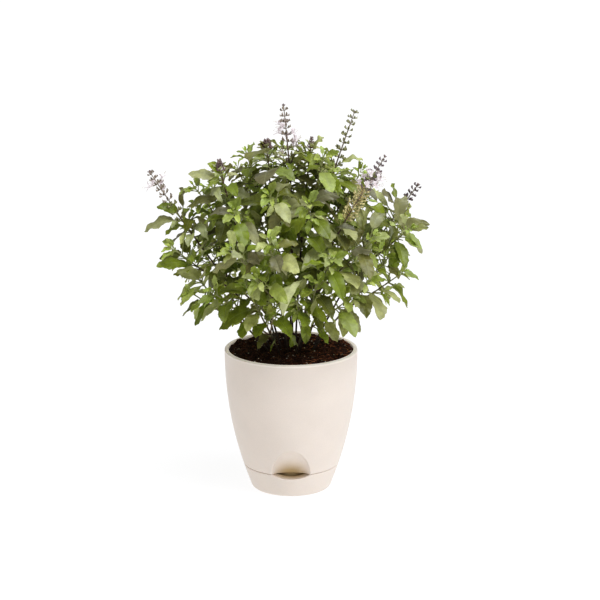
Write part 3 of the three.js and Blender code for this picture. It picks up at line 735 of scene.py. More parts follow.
def fill_leaves(paths, rng):
    """More leaves on the older parts of the shoots, wherever there is room for them."""
    found = []
    for index, path in enumerate(paths):
        back = 6.0
        while 1 - back / path.length > (0.45 if index else 0.4):
            for side in (0, math.pi):
                for _ in range(7):
                    turn = rng.uniform(0, math.pi) + side
                    lift = random_angle(rng, 52, 84)
                    length, droop = rng.uniform(17, 27), rng.uniform(0.8, 2.1)
                    light = vec((rng.uniform(-0.3, 0.3), rng.uniform(-0.5, 0.2), 1))
                    leaf = turned_leaf(path, 1 - back / path.length, turn, length, droop, lift, light)
                    if stays_inside(leaf) and crowd.take(leaf, LEAF_ROOM):
                        found.append(leaf)
                        break
            back += rng.uniform(5.5, 9)
    return found


def add_axil_shoots(foliage, wood, path, knots, rng):
    """Short side shoots where the leaves leave a stem."""
    for knot in knots:
        for side in (0, math.pi):
            at, along = path.point(knot), path.tangent(knot)
            out = outward(along, rng.uniform(0, math.pi) + side)
            way = unit(along + out * rng.uniform(0.7, 1.2))
            tip = at + way * rng.uniform(2, 7)
            tube(wood, [at, mix(at, tip, 0.5), tip], (0.45, 0.4, 0.35), 6, linear(GREEN_STEM))
            small = sprout(tip, way, rng.choice([1, 2, 3]), rng.uniform(9, 14), rng)
            add_small_leaves(foliage, small, rng, AXIL_ROOM)


def add_leafy_stem(number, top, paths, fork_shares, leaves):
    rng = np.random.default_rng(400 + number)
    foliage, wood = Build(), Build()
    for leaf, pair, look in leaves:
        fresh = 0.25 if pair == 0 and look is None else 0.0
        faces = leaf_look(look or pick_look(rng, leaf.origin[2], pair == 0), rng, fresh, 1.75)
        fold = random_angle(rng, 14, 34) if leaf.length < 24 else random_angle(rng, 5, 26)
        blush = 0.12 if look in ("purple", "grey") else rng.uniform(0, 0.08)
        if look:
            form = dict(fold=random_angle(rng, 4, 14), breadth=1.0, twist=0.15)
        else:
            form = dict(fold=fold, breadth=rng.uniform(0.84, 1.0))
        add_leaf(foliage, leaf, faces, rng, 7, FINE_COLUMNS, blush=blush, **form)
    for stem, tip, length, look in MORE_LEAVES:
        if stem == number:
            leaf = set_leaf(paths, tip, length, 1.6 if tip[2] < 150 else 1.0)
            crowd.take(leaf, 0)
            fold = random_angle(rng, 5, 20)
            faces = leaf_look(look, rng)
            add_leaf(foliage, leaf, faces, rng, 6, MIDDLE_COLUMNS, fold, breadth=0.92, blush=0.1)
    for leaf in fill_leaves(paths, rng):
        faces = leaf_look(pick_look(rng, leaf.origin[2], False), rng)
        fold = random_angle(rng, 4, 24)
        add_leaf(foliage, leaf, faces, rng, 6, MIDDLE_COLUMNS, fold, breadth=rng.uniform(0.8, 0.98))
    for index, path in enumerate(paths):
        knots = [1 - back / path.length for back in KNOTS]
        if index or not top:
            end = sprout(path.point(1), path.tangent(1), 3, rng.uniform(10, 13), rng)
            add_small_leaves(foliage, end, rng, 0)
        add_axil_shoots(foliage, wood, path, [knot for knot in knots[1:] if knot > 0.3], rng)
        if index:
            add_stem(wood, path, FORK_RADII, (PURPLE_STEM, GREEN_STEM), knots, rng)
        else:
            tints = (BARK, PURPLE_STEM if top else GREEN_STEM)
            add_stem(wood, path, MAIN_RADII, tints, [*knots, *fork_shares], rng)
    node = f"leafy_stem_{number:02d}"
    foliage.piece(f"foliage_{number:02d}", LEAF_MATERIAL, "foliage", node)
    wood.piece(f"stems_{number:02d}", STEM_MATERIAL, "foliage", node)


# ---- Flowers ----
CALYX_SIDES = 12


def add_calyx(build, root, axis, size, gape, colour):
    """A small bell with a broad round upper lip that stands up, and narrow lower teeth."""
    side = unit(np.cross(UP, axis))
    over = np.cross(axis, side)
    angle = np.linspace(0, 2 * math.pi, CALYX_SIDES, endpoint=False)
    ring = side * np.cos(angle)[:, None] + over * np.sin(angle)[:, None]
    from_top = np.abs(angle - math.pi / 2)
    lip = np.exp(-((np.minimum(from_top, 2 * math.pi - from_top) / 0.75) ** 2))
    teeth = 0.45 * (np.arange(CALYX_SIDES) % 3 == 0) * (1 - lip)
    rim = 2.1 + 0.9 * lip + teeth
    shape = [
        (0.0, 0.3, 0.0),
        (0.6, 0.66, 0.0),
        (1.4, 0.8, 0.0),
        (rim - 0.4, mix(0.8, gape, 0.6), 0.3),
        (rim, gape, 0.85),
        (rim - 0.06, gape - 0.13, 0.8),
        (1.2, 0.45, 0.0),
    ]
    grid = []
    for up, out, flare in shape:
        out = np.broadcast_to(out + flare * lip, CALYX_SIDES)[:, None]
        up = np.broadcast_to(up, CALYX_SIDES)[:, None]
        grid.append(root + (axis * up + ring * out) * size)
    # The calyx grows darker towards its lip; inside the bell the darkening is painted shade, darkest at its
    # bottom.
    shade = np.repeat([1.05, 1.0, 0.95, 0.85, 0.75, 0.7, 0.45], CALYX_SIDES)[:, None]
    build.add(np.array(grid), ring_faces(len(shape), CALYX_SIDES), colour * shade)


def add_petal(build, root, along, side, length, width, bend):
    """A small cupped petal that bends off its first direction."""
    rows, columns = 6, 5
    s = np.linspace(0, 1, rows)[:, None, None]
    v = np.linspace(-1, 1, columns)[None, :, None]
    normal = np.cross(side, along)
    half = width / 2 * np.sin(math.pi * (0.14 + 0.8 * s)) ** 0.6
    line = root + (along * np.sin(bend * s) + normal * (1 - np.cos(bend * s))) * length / bend
    top = line + side * v * half + normal * 0.16 * v**2 * width / 2
    build.add(np.stack([top, top - normal * 0.1]), sheet_faces(rows, columns), linear(LILAC))


def add_flower(build, root, axis, rng):
    """A pale two-lipped flower that stands out of its calyx, with its long stamens."""
    side = unit(np.cross(axis, UP))
    lift = np.cross(side, axis)
    mouth = root + axis * 4.0
    tube(build, [root + axis, root + axis * 2.3, mouth], (0.4, 0.5, 0.8), 8, linear(LILAC))
    for turn in (-0.55, -0.2, 0.2, 0.55):
        foot = mouth + side * turn + lift * 0.4
        aside = unit(side + axis * turn * 0.5)
        way = unit(axis + lift * rng.uniform(0.7, 1.3) + side * turn)
        add_petal(build, foot, way, aside, rng.uniform(2.6, 3.6), 1.8, 0.8)
    add_petal(build, mouth - lift * 0.35, unit(axis - lift * 0.3), -side, 4.2, 2.3, 0.9)
    for k in range(4):
        reach = axis * rng.uniform(3.4, 5.0) + side * mix(-1.3, 1.3, k / 3) + lift * rng.uniform(-0.9, 0.9)
        tip = mouth + reach
        bow = mix(mouth, tip, 0.5) - lift * 0.4
        tube(build, [mouth, bow, tip], 0.1, 3, linear(LILAC))
        tube(build, [tip, tip + reach * 0.06, tip + reach * 0.12], (0.12, 0.2, 0.1), 5, linear(ANTHER))


def add_bract(build, at, along, out, length, rng):
    """A tiny leaf under a whorl."""
    leaf = Leaf(at, along, unit(out + along * rng.uniform(0.15, 0.5)), rng.uniform(0.3, 0.8), length)
    add_leaf(build, leaf, leaf_look("olive", rng), rng, 2, SMALL_COLUMNS, 0.3, 0.22, 1.1, 0.3)


def add_whorl(
    build, centre, along, count, first_turn, rng,
    *, stalk, lean, size, gape, tint=BUD, stalk_tint=PURPLE_STEM, bow=0.0,
):
    """A ring of calyces on their stalks. Gives where each calyx starts and where it points."""
    found = []
    for k in range(count):
        out = outward(along, 2 * math.pi * (k + rng.uniform(-0.16, 0.16)) / count + first_turn)
        way = unit(out + along * (lean + rng.uniform(-0.2, 0.2)))
        root = centre + out * 0.3
        joint = root + way * stalk * rng.uniform(0.8, 1.2)
        way = unit(way + along * bow)
        middle = mix(root, joint, 0.5) - along * bow * stalk * 0.2
        tube(build, [root, middle, joint], 0.15, 5, linear(stalk_tint))
        calyx_size = size * rng.uniform(0.88, 1.12)
        add_calyx(build, joint, way, calyx_size, gape, linear(tint) * rng.uniform(0.9, 1.5))
        add_hairs(build, np.array([joint, joint + way * calyx_size * 2]), [0.7 * calyx_size] * 2, 5, rng)
        found.append((joint, way))
    return found


# How far along an open spike its first and last pale flowers are, where it has any, and their odds.
IN_FLOWER = {1: (0.5, 0.8, 0.34), 6: (0.12, 0.62, 0.5), 9: (0.4, 0.78, 0.34)}
# How far apart the whorls of each spike are, and the colour of its calyces.
SPIKE_PITCH = {1: 4.9, 6: 4.9, 8: 5.1, 9: 4.3, 10: 4.0}
SPIKE_TINTS = {1: CALYX, 6: CALYX, 8: CALYX_GREEN, 9: CALYX_DARK, 10: CALYX_DARK}
SEED_SPIKE, SEED_SHARE = 9, 0.46  # the spike that has gone to seed, and how much of it
SEED_PITCH = 2.0


def add_rachis(build, start, along, length, rng):
    share = np.linspace(0, 1, 14)
    line = start + along * (share * (length + 0.6) - 0.6)[:, None]
    radius = mix(0.55, 0.32, share)
    tints = mix(linear(PURPLE_STEM), linear(CALYX), share[:, None])
    tube(build, line, radius, 8, tints, squareness=0.7)
    add_hairs(build, line, radius, int(length * 8), rng, 0.4, 0.9)


def add_spike(number, start, tip):
    """An open flower spike, whorl by whorl."""
    rng = np.random.default_rng(700 + number)
    blooms, petals = Build(), Build()
    length = np.linalg.norm(tip - start)
    along = (tip - start) / length
    add_rachis(blooms, start, along, length, rng)
    first, last, odds = IN_FLOWER.get(number, (2, 2, 0))
    up, whorl = 1.4, 0
    while up < length - 0.6:
        age = up / length
        size = mix(0.96, 0.62, age**1.5)
        centre = start + along * up
        turn = whorl * 0.9
        if number == SEED_SPIKE and age < SEED_SHARE:
            seeds = dict(stalk=rng.uniform(3.0, 4.4), lean=0.3, size=0.72, gape=0.6, bow=0.3)
            add_whorl(blooms, centre, along, 6, turn, rng, tint=SEED_CALYX, stalk_tint=SEED_STALK, **seeds)
            up += SEED_PITCH
        else:
            tint = CALYX_GREEN if age < 0.3 and rng.uniform() < 0.7 else SPIKE_TINTS[number]
            look = dict(stalk=2.2 * size, lean=mix(0.08, 0.3, age), size=size, gape=0.85, bow=0.3)
            placed = add_whorl(blooms, centre, along, WHORL_FLOWERS, turn, rng, tint=tint, **look)
            for joint, way in placed:
                if first < age < last and rng.uniform() < odds:
                    add_flower(petals, joint, way, rng)
            up += SPIKE_PITCH[number] * mix(1.1, 0.75, age)
        if age < 0.35:
            for half_turn in (0, math.pi):
                out = outward(along, 0.3 + whorl * math.pi / 2 + half_turn)
                add_bract(blooms, centre - along * 0.5, along, out, mix(4.6, 3.0, age), rng)
        whorl += 1
    end = start + along * (length - 0.6)
    add_whorl(blooms, end, along, 4, 0, rng, stalk=0.3, lean=1.6, size=0.5, gape=0.4)
    node = f"flower_spike_{number:02d}"
    blooms.piece(f"calyces_{number:02d}", CALYX_MATERIAL, "flowers", node)
    if petals.count:
        petals.piece(f"petals_{number:02d}", PETAL_MATERIAL, "flowers", node)


BUD_FULLNESS = {4: 0.85, 5: 1.0, 7: 0.66}  # how plump each young head is
BUDS_FROM = 0.36  # how far up a young head its first ring of buds is


def add_bud_head(number, start, tip):
    """A young head: crowded shut buds, with small leaves standing close round its lower half."""
    rng = np.random.default_rng(700 + number)
    buds = Build()
    length = np.linalg.norm(tip - start)
    along = (tip - start) / length
    full = BUD_FULLNESS[number]
    add_rachis(buds, start, along, length - 4, rng)
    for pair in range(5):
        age = pair / 4
        for half_turn in (0, math.pi):
            out = outward(along, pair * math.pi / 2 + half_turn + rng.uniform(-0.3, 0.3))
            size = mix(11.5, 7, age) * rng.uniform(0.85, 1.15) * mix(1, full, 0.5)
            at, way = start + along * (0.8 + pair * 1.7), unit(out + along * mix(0.5, 1.3, age))
            leaf = Leaf(at, along, way, mix(0.9, 0.5, age), size)
            look = leaf_look(rng.choice(["olive", "green", "grey", "pale"]), rng)
            add_leaf(buds, leaf, look, rng, 4, SMALL_COLUMNS, math.radians(20), 0.26, 0.95, 0.2)
    up, whorl = length * BUDS_FROM, 0
    while up < length - 3.4:
        age = (up / length - BUDS_FROM) / 0.5
        look = dict(stalk=mix(1.5, 0.4, age) * full, lean=mix(0.5, 1.6, age), gape=0.3)
        look["size"] = mix(1.05, 0.6, age) * full
        add_whorl(buds, start + along * up, along, 7, whorl * 0.8, rng, **look)
        up += mix(1.9, 1.4, age)
        whorl += 1
    buds.piece(f"buds_{number:02d}", CALYX_MATERIAL, "flowers", f"bud_head_{number:02d}")


# ---- Pot and saucer ----
POT_RADII = (BASE_RADIUS, 37, RIM_RADIUS, RIM_RADIUS)  # control points of the outline
POT_HEIGHTS = (0, 24, 55, POT_HEIGHT)


def outside_radius(z):
    """The outline's radius at heights z: one curve, upright at the rim and drawn in below."""
    t = np.linspace(0, 1, 4001)
    curve = [bezier(*points, t) for points in (POT_RADII, POT_HEIGHTS)]
    return np.interp(z, curve[1], curve[0])


# Angles from the front, closer together round the water inlet.
ANGLES = np.radians(np.concatenate([np.arange(-24, 24, 0.35), np.arange(24, 336, 3.0)]))
AROUND = np.stack([np.sin(ANGLES), -np.cos(ANGLES), np.zeros(len(ANGLES))], axis=1)


def inlet_depth(x, z):
    """How deep the scoop over the saucer is: nothing at its arch, deepest at the seam."""
    t = np.clip((z - SEAM_Z) / INLET_RISE, 0, 1)
    across = 1 - x**2 / (INLET_HALF_WIDTH**2 * np.maximum(1e-6, 1 - t**2))
    across = np.maximum(0, across)
    return INLET_DEPTH * (1 - t) ** 0.7 * across**0.5 * np.minimum(1, across / 0.12) ** 0.5


def revolve(build, profile):
    """A closed solid from [radius, height] points, where either may differ round the axis."""
    rings = []
    for radius, z in profile:
        radius = np.broadcast_to(radius, len(ANGLES))[:, None]
        z = np.broadcast_to(z, len(ANGLES))[:, None]
        rings.append(AROUND * radius + UP * z)
    grid = np.array(rings)
    z = grid[..., 2]
    # Darker, warmer cream low on the inside and deep in the inlet's scoop: a stain where water stands, and
    # painted shade with warm bounce light in these recesses.
    inside = (outside_radius(z) - WALL - 0.5 - np.hypot(grid[..., 0], grid[..., 1])) / 8
    stain_and_shade = np.clip(inside, 0, 1) * np.clip((STAIN_AND_SHADE_TOP - z) / 12, 0, 1)
    tint = mix(linear(CREAM), linear(CREAM_STAINED_AND_SHADED), stain_and_shade[..., None])
    # painted light: the top 1.8 mm of the pot take the whiter rim cream
    tint = mix(tint, linear(CREAM_RIM_PAINTED_LIGHT), np.clip(z - POT_HEIGHT + 1.8, 0, 1)[..., None])
    glow = np.clip((z - POT_HEIGHT + 2.5) / 2.5, 0, 1) ** 0.5
    glow = glow * np.clip((RIM_RADIUS - 0.2 - np.hypot(grid[..., 0], grid[..., 1])) / 0.9, 0, 1)
    tint = np.concatenate([tint, 1 - glow[..., None]], axis=-1)
    build.add(grid, ring_faces(len(rings), len(ANGLES)), tint)


def inlet_dip(x):
    """How far the lip under the inlet is down, as a share, at a distance from the middle."""
    return np.where(np.cos(ANGLES) > 0, np.maximum(0, 1 - (x / INLET_HALF_WIDTH) ** 2), 0)


def arc(radius, z, size, first, last, steps=5):
    """Profile points round a corner, between two angles in degrees."""
    angles = np.radians(np.linspace(first, last, steps))
    return [(radius + size * math.cos(a), z + size * math.sin(a)) for a in angles]


def add_pot():
    build = Build()
    wick_bottom = SAUCER_FLOOR + FIT_GAP
    front = np.cos(ANGLES) > 0
    apron = INLET_APRON * inlet_dip(outside_radius(SEAM_Z) * np.sin(ANGLES)) ** 0.4

    def wall(z):
        """The outside's radius all round at a height, with the scoop of the inlet."""
        radius = outside_radius(z)
        return radius - np.where(front, inlet_depth(np.sin(ANGLES) * radius, z), 0)

    edge = [(wall(LEDGE_Z) - back, LEDGE_Z + up - apron) for back, up in ((0.5, 0), (0.15, 0.12), (0, 0.4))]
    outer = [*np.arange(LEDGE_Z + 0.5, 39, 0.35), *np.arange(40, 98, 3.0), 100.0]
    inner = (98, 94, 85, 75, 67, 55, 46, 38, 30, 24, LEDGE_Z + WALL)
    profile = [
        (0.3, wick_bottom),
        (WICK_RADIUS, wick_bottom),
        (WICK_RADIUS, BUCKET_FLOOR_Z),
        (BUCKET_RADIUS, BUCKET_FLOOR_Z),
        (BUCKET_RADIUS, LEDGE_Z),
        *edge,
        *[(wall(z), z) for z in outer],
        *arc(RIM_RADIUS - RIM_ROUND_OUT, POT_HEIGHT - RIM_ROUND_OUT, RIM_ROUND_OUT, 4, 90, 7),
        *arc(RIM_RADIUS - RIM_WIDTH + RIM_ROUND_IN, POT_HEIGHT - RIM_ROUND_IN, RIM_ROUND_IN, 95, 180),
        *[(wall(z) - WALL, z) for z in inner],
        (BUCKET_RADIUS - WALL, LEDGE_Z + WALL),
        (BUCKET_RADIUS - WALL, BUCKET_FLOOR_Z + WALL),
        (WICK_RADIUS - WALL, BUCKET_FLOOR_Z + WALL),
        (WICK_RADIUS - WALL, wick_bottom + WALL),
        (0.3, wick_bottom + WALL),
    ]
    revolve(build, profile)
    build.piece("pot_shell", POT_MATERIAL, "pot", "pot")


def add_saucer():
    build = Build()
    x = np.sin(ANGLES) * outside_radius(SEAM_Z)
    dip = inlet_dip(x) ** 0.75
    lip = SEAM_Z - INLET_DIP * dip
    heights = [mix(2.6, lip - 0.5, t) for t in np.linspace(0, 1, 10)]
    outer = [(outside_radius(z), z) for z in heights]
    inner = [(outside_radius(z) - WALL, z) for z in heights[::-1]]
    # A shelf under the inlet, short of the bucket, so that water runs down behind it.
    reach = mix(outside_radius(lip) - WALL, SHELF_END, inlet_dip(x) ** 0.3)
    shelf = [(reach, lip - 0.15), (reach, lip - 1.1)]
    inner = [inner[0], *shelf, *inner[2:]]
    profile = [
        (0.3, 0.25),
        (BASE_RADIUS - 4.2, 0.25),
        (BASE_RADIUS - 3.6, 0.0),
        (BASE_RADIUS - 1.7, 0.0),
        (BASE_RADIUS - 0.7, 0.25),
        (BASE_RADIUS + 0.15, 0.9),
        (BASE_RADIUS + 0.75, 1.8),
        *outer,
        (outside_radius(lip - 0.2) - 0.1, lip - 0.2),
        (outside_radius(lip) - 0.45, lip),
        (outside_radius(lip) - WALL + 0.4, lip),
        *inner,
        (BASE_RADIUS - WALL - 1.2, SAUCER_FLOOR),
        (0.3, SAUCER_FLOOR),
    ]
    revolve(build, profile)
    build.piece("saucer_shell", POT_MATERIAL, "saucer", "saucer")


# ---- Soil ----
GOLDEN = 1.618
ICO_POINTS = [np.roll((0, s, t * GOLDEN), -k) for k in range(3) for s in (-1, 1) for t in (-1, 1)]
ICO_POINTS = unit(vec(ICO_POINTS))


def hull_faces(points):
    """Faces of the twenty-sided solid: the corners that are nearest to each other."""
    faces = []
    for corners in combinations(range(12), 3):
        a, b, c = points[list(corners)]
        if max(np.linalg.norm(a - b), np.linalg.norm(b - c), np.linalg.norm(a - c)) < 1.2:
            turns_out = np.cross(b - a, c - a).dot(a) > 0
            faces.append(corners if turns_out else (corners[0], corners[2], corners[1]))
    return faces


ICO_FACES = hull_faces(ICO_POINTS)


def lumpy_top(x, y):
    """The height of the crumbled soil surface."""
    rough = 0.0
    for pitch, height in ((7.0, 2.2), (3.0, 1.3), (1.3, 0.6)):
        rough += height * noise.noise(Vector((x / pitch, y / pitch, pitch)))
    out = math.hypot(x, y)
    return float(soil_top(x, y)) + SOIL_FILL * (out / RIM_RADIUS) ** 2 + rough * min(1.0, (46.5 - out) / 3)


def add_crumb(build, centre, size, tint, rng, flat=0.7):
    spread = size * rng.uniform(0.6, 1.3, (12, 1)) * vec((rng.uniform(0.7, 1.4), 1, flat))
    turn = rng.uniform(0, 2 * math.pi)
    spin = vec(((math.cos(turn), -math.sin(turn), 0), (math.sin(turn), math.cos(turn), 0), (0, 0, 1)))
    build.add(centre + (ICO_POINTS * spread) @ spin, ICO_FACES, tint)


def add_soil():
    build = Build()
    rng = np.random.default_rng(11)
    edge = RIM_RADIUS - RIM_WIDTH - 0.05
    sides, steps = 200, 78
    angle = np.linspace(0, 2 * math.pi, sides, endpoint=False)
    ring = np.stack([np.cos(angle), np.sin(angle), np.zeros(sides)], axis=1)
    rings = [ring * 3 + UP * SOIL_BOTTOM, ring * (edge - 1.8) + UP * SOIL_BOTTOM]
    for radius in np.linspace(edge, 0.5, steps):
        flat = ring * radius
        height = [lumpy_top(x, y) for x, y, _ in flat]
        rings.append(flat + UP * np.array(height)[:, None])
    grid = np.array(rings).reshape(-1, 3)
    tone = [noise.noise(Vector(point) / 9) + 0.7 * noise.noise(Vector(point) / 2.2) for point in grid]
    # Redder and lighter to the right: the soil's own mix, and painted light, as with SUNNY_X.
    redness_and_light = np.clip(0.25 + 0.9 * np.array(tone) + grid[:, 0] / 120, 0, 1)[:, None]
    tint = mix(linear(SOIL_DARK), linear(SOIL_RED), redness_and_light * 0.5)
    build.add(grid, ring_faces(len(rings), sides), tint)

    def spot(reach=1.0):
        radius, turn = (edge - 1.2) * math.sqrt(rng.uniform(0, reach)), rng.uniform(0, 2 * math.pi)
        x, y = radius * math.cos(turn), radius * math.sin(turn)
        return vec((x, y, lumpy_top(x, y)))

    for _ in range(CRUMBS):
        size = rng.uniform(0.35, 1.25) * rng.uniform(0.5, 1)
        centre = spot() + UP * size * 0.3
        shade = mix(linear(SOIL_DARK), linear(SOIL_RED), rng.uniform(0, 0.7)) * rng.uniform(0.5, 1.5)
        # painted light: crumbs right of SUNNY_X are brighter, the rest darker
        add_crumb(build, centre, size, shade * (1.5 if centre[0] > SUNNY_X else 0.85), rng)
    for _ in range(FIBRES):
        centre = spot()
        turn = rng.uniform(0, 2 * math.pi)
        reach = vec((math.cos(turn), math.sin(turn), rng.uniform(-0.15, 0.35))) * rng.uniform(1.2, 4.6)
        bow = vec(rng.uniform(-1, 1, 3)) * 0.35 + UP * 0.3
        line = [centre - reach / 2, centre - reach / 5 + bow]
        line += [centre + reach / 5 + bow * 0.6, centre + reach / 2]
        red = mix(linear(FIBRE), linear(SOIL_RED), rng.uniform()) * rng.uniform(0.5, 1.3)
        # painted light: fibres right of SUNNY_X are brighter
        red = red * (2.0 if centre[0] > SUNNY_X else 0.9)
        tube(build, np.array(line) + UP * 0.25, rng.uniform(0.08, 0.24), 3, red)
    for _ in range(PERLITE_GRAINS):
        size = rng.uniform(0.3, 0.7)
        add_crumb(build, spot() + UP * 0.4, size, linear(PERLITE) * rng.uniform(0.75, 1), rng, 0.9)
    for _ in range(CHIPS):
        centre, turn = spot() + UP * 0.9, rng.uniform(0, 2 * math.pi)
        reach = vec((math.cos(turn), math.sin(turn), rng.uniform(-0.08, 0.12))) * rng.uniform(4, 9)
        line = [centre - reach / 2, centre + vec(rng.uniform(-0.5, 0.5, 3)), centre + reach / 2]
        tube(build, line, (0.5, 0.42, 0.3), 6, linear(BARK) * rng.uniform(0.8, 2.2))
    build.piece("soil_crumb", SOIL_MATERIAL, "soil", "soil")


# ---- Materials ----
class Shader:
    """A material's node tree, built up with short calls."""

    def __init__(self, name):
        self.material = bpy.data.materials.new(name)
        self.material.use_nodes = True
        self.tree = self.material.node_tree
        self.tree.nodes.clear()
        self.output = self.node("ShaderNodeOutputMaterial")

    def node(self, kind, inputs=None, **settings):
        node = self.tree.nodes.new(kind)
        for key, value in settings.items():
            setattr(node, key, value)
        for key, value in (inputs or {}).items():
            if isinstance(value, bpy.types.NodeSocket):
                self.tree.links.new(value, node.inputs[key])
            else:
                node.inputs[key].default_value = value
        return node

    def math(self, operation, *values, clamp=False):
        inputs = dict(enumerate(values))
        return self.node("ShaderNodeMath", inputs, operation=operation, use_clamp=clamp).outputs[0]

    def ramp(self, value, low, high, to_low=0.0, to_high=1.0):
        inputs = {"Value": value, "From Min": low, "From Max": high, "To Min": to_low, "To Max": to_high}
        return self.node("ShaderNodeMapRange", inputs, interpolation_type="SMOOTHSTEP").outputs[0]

    def noise(self, scale, detail=3.0):
        inputs = {"Scale": scale, "Detail": detail, "Vector": self.place}
        return self.node("ShaderNodeTexNoise", inputs).outputs[0]

    def varied(self, scale, low, high, detail=3.0, spread=0.2):
        """A value that wanders between two over the surface."""
        return self.ramp(self.noise(scale, detail), 0.5 - spread, 0.5 + spread, low, high)

    def blend(self, factor, a, b, kind="MIX"):
        inputs = {0: factor, 6: a, 7: b}
        return self.node("ShaderNodeMix", inputs, data_type="RGBA", blend_type=kind).outputs[2]

    @property
    def place(self):
        """Where the point is on the object, in metres."""
        return self.node("ShaderNodeTexCoord").outputs["Object"]

    def attribute(self, name, output="Color"):
        return self.node("ShaderNodeAttribute", attribute_name=name).outputs[output]

    def tinted(self, scale, low, high, detail=3.0):
        """The mesh's own colour, mottled."""
        return self.brighten(self.attribute("tint"), self.varied(scale, low, high, detail))

    def brighten(self, colour, factor):
        return self.node("ShaderNodeHueSaturation", {"Color": colour, "Value": factor}).outputs[0]

    def bump(self, height, strength, distance):
        inputs = {"Height": height, "Strength": strength, "Distance": distance}
        return self.node("ShaderNodeBump", inputs).outputs[0]

    def surface(self, colour, roughness, more=None):
        inputs = {"Base Color": colour, "Roughness": roughness, **(more or {})}
        return self.node("ShaderNodeBsdfPrincipled", inputs).outputs[0]

    def finish(self, surface, thin=None, share=0.0):
        """The material, a share of it thin enough to let light through with these inputs."""
        if thin:
            through = self.node("ShaderNodeBsdfTranslucent", thin).outputs[0]
            surface = self.node("ShaderNodeMixShader", {0: share, 1: surface, 2: through}).outputs[0]
        self.tree.links.new(surface, self.output.inputs[0])
        return self.material


def rgba(colour):
    return (*linear(colour), 1.0)


def leaf_material():
    s = Shader("leaf")
    tint = s.attribute("tint")
    upper = s.attribute("tint", "Alpha")
    place = s.node("ShaderNodeSeparateXYZ", {0: s.attribute("place", "Vector")})
    off_rib = s.math("ABSOLUTE", place.outputs[1])
    row = s.math("FRACT", s.math("ADD", place.outputs[0], 1 / 6))
    off_vein = s.math("ABSOLUTE", s.math("SUBTRACT", row, 0.5))
    vein = s.math("MULTIPLY", s.ramp(off_vein, 0.03, 0.11, 1, 0), s.ramp(off_rib, 0.55, 0.95, 1, 0))
    rib = s.ramp(off_rib, 0.02, 0.075, 1, 0)
    lines = s.math("MAXIMUM", s.math("MULTIPLY", vein, 0.4), rib)
    net = s.node("ShaderNodeTexVoronoi", {"Vector": s.place, "Scale": 900.0}, feature="DISTANCE_TO_EDGE")
    colour = s.brighten(tint, s.varied(160.0, 0.86, 1.14, spread=0.15))
    colour = s.brighten(colour, s.varied(1400.0, 0.93, 1.07, 2.0))
    paler = s.blend(0.55, colour, rgba((196, 204, 150)))
    colour = s.blend(s.math("MULTIPLY", lines, 0.4), colour, paler)
    puckers = s.math("MULTIPLY", s.ramp(net.outputs[0], 0, 0.25), 0.35)
    normal = s.bump(s.math("SUBTRACT", puckers, s.math("MULTIPLY", lines, 0.8)), 0.35, 0.00025)
    rough = s.math("ADD", s.ramp(upper, 0, 1, 0.7, 0.42), s.varied(500.0, -0.06, 0.06))
    bloom = {"Sheen Weight": 0.16, "Sheen Roughness": 0.4, "Sheen Tint": (0.9, 0.9, 0.88, 1)}
    surface = s.surface(colour, rough, {"Normal": normal, "Specular IOR Level": 0.6, **bloom})
    glow = s.blend(1.0, colour, (0.96, 0.96, 0.56, 1), "MULTIPLY")
    return s.finish(surface, {"Color": s.brighten(glow, 1.4), "Normal": normal}, 0.32)


def downy_material(name, roughness, sheen, patch_scale):
    """Stems and calyces: tinted by the mesh, mottled, with a bloom of fine hairs."""
    s = Shader(name)
    colour = s.tinted(patch_scale, 0.78, 1.22)
    rough = s.varied(patch_scale * 2, roughness - 0.08, roughness + 0.08)
    normal = s.bump(s.noise(patch_scale * 6, 2.0), 0.4, 0.0002)
    more = {"Normal": normal, "Sheen Weight": sheen, "Sheen Roughness": 0.5}
    return s.finish(s.surface(colour, rough, more))


def petal_material():
    s = Shader("petal")
    colour = s.tinted(900.0, 0.92, 1.08)
    return s.finish(s.surface(colour, 0.6), {"Color": colour}, 0.4)


def pot_material():
    s = Shader("cream_plastic")
    colour = s.tinted(28.0, 0.975, 1.025, 4.0)
    colour = s.brighten(colour, s.varied(1800.0, 0.985, 1.015, 2.0, spread=0.15))
    glow = s.ramp(s.attribute("tint", "Alpha"), 0, 1, RIM_GLOW, 0)
    more = {
        "Normal": s.bump(s.noise(2600.0, 2.0), 0.12, 0.00008),
        "Specular IOR Level": 0.4,
        "Subsurface Weight": 0.08,
        "Subsurface Radius": (0.004, 0.003, 0.002),
        "Emission Color": colour,
        "Emission Strength": glow,
    }
    return s.finish(s.surface(colour, s.varied(60.0, 0.4, 0.52, 4.0), more))


def soil_material():
    s = Shader("coco_compost")
    colour = s.tinted(700.0, 0.55, 1.35, 5.0)
    height = s.math("ADD", s.noise(900.0, 6.0), s.noise(2600.0, 3.0))
    more = {"Normal": s.bump(height, 0.9, 0.0006), "Specular IOR Level": 0.25}
    return s.finish(s.surface(colour, s.varied(300.0, 0.78, 0.98), more))


LEAF_MATERIAL = leaf_material()
STEM_MATERIAL = downy_material("stem_skin", 0.6, 0.03, 420.0)
CALYX_MATERIAL = downy_material("calyx_skin", 0.66, 0.2, 700.0)
PETAL_MATERIAL = petal_material()
POT_MATERIAL = pot_material()
SOIL_MATERIAL = soil_material()

# ---- The plant and its pot ----
crowd = Crowd()
shoots = []
for number, (foot, end, top, forks) in enumerate(STEMS, 1):
    main = Path(stem_controls(foot, end, top), MAIN_JOINTS)
    paths = [main, *(Path(fork_controls(main, *fork), FORK_JOINTS) for fork in forks)]
    leaves = grown_leaves(number, paths, top is not None)
    for leaf, _, look in leaves:
        crowd.take(leaf, 0)
        if look:
            crowd.show(leaf)
    shoots.append((number, top, paths, [at for at, _ in forks], leaves))
print("leaves that the CAD has:", sum(len(shoot[4]) for shoot in shoots))

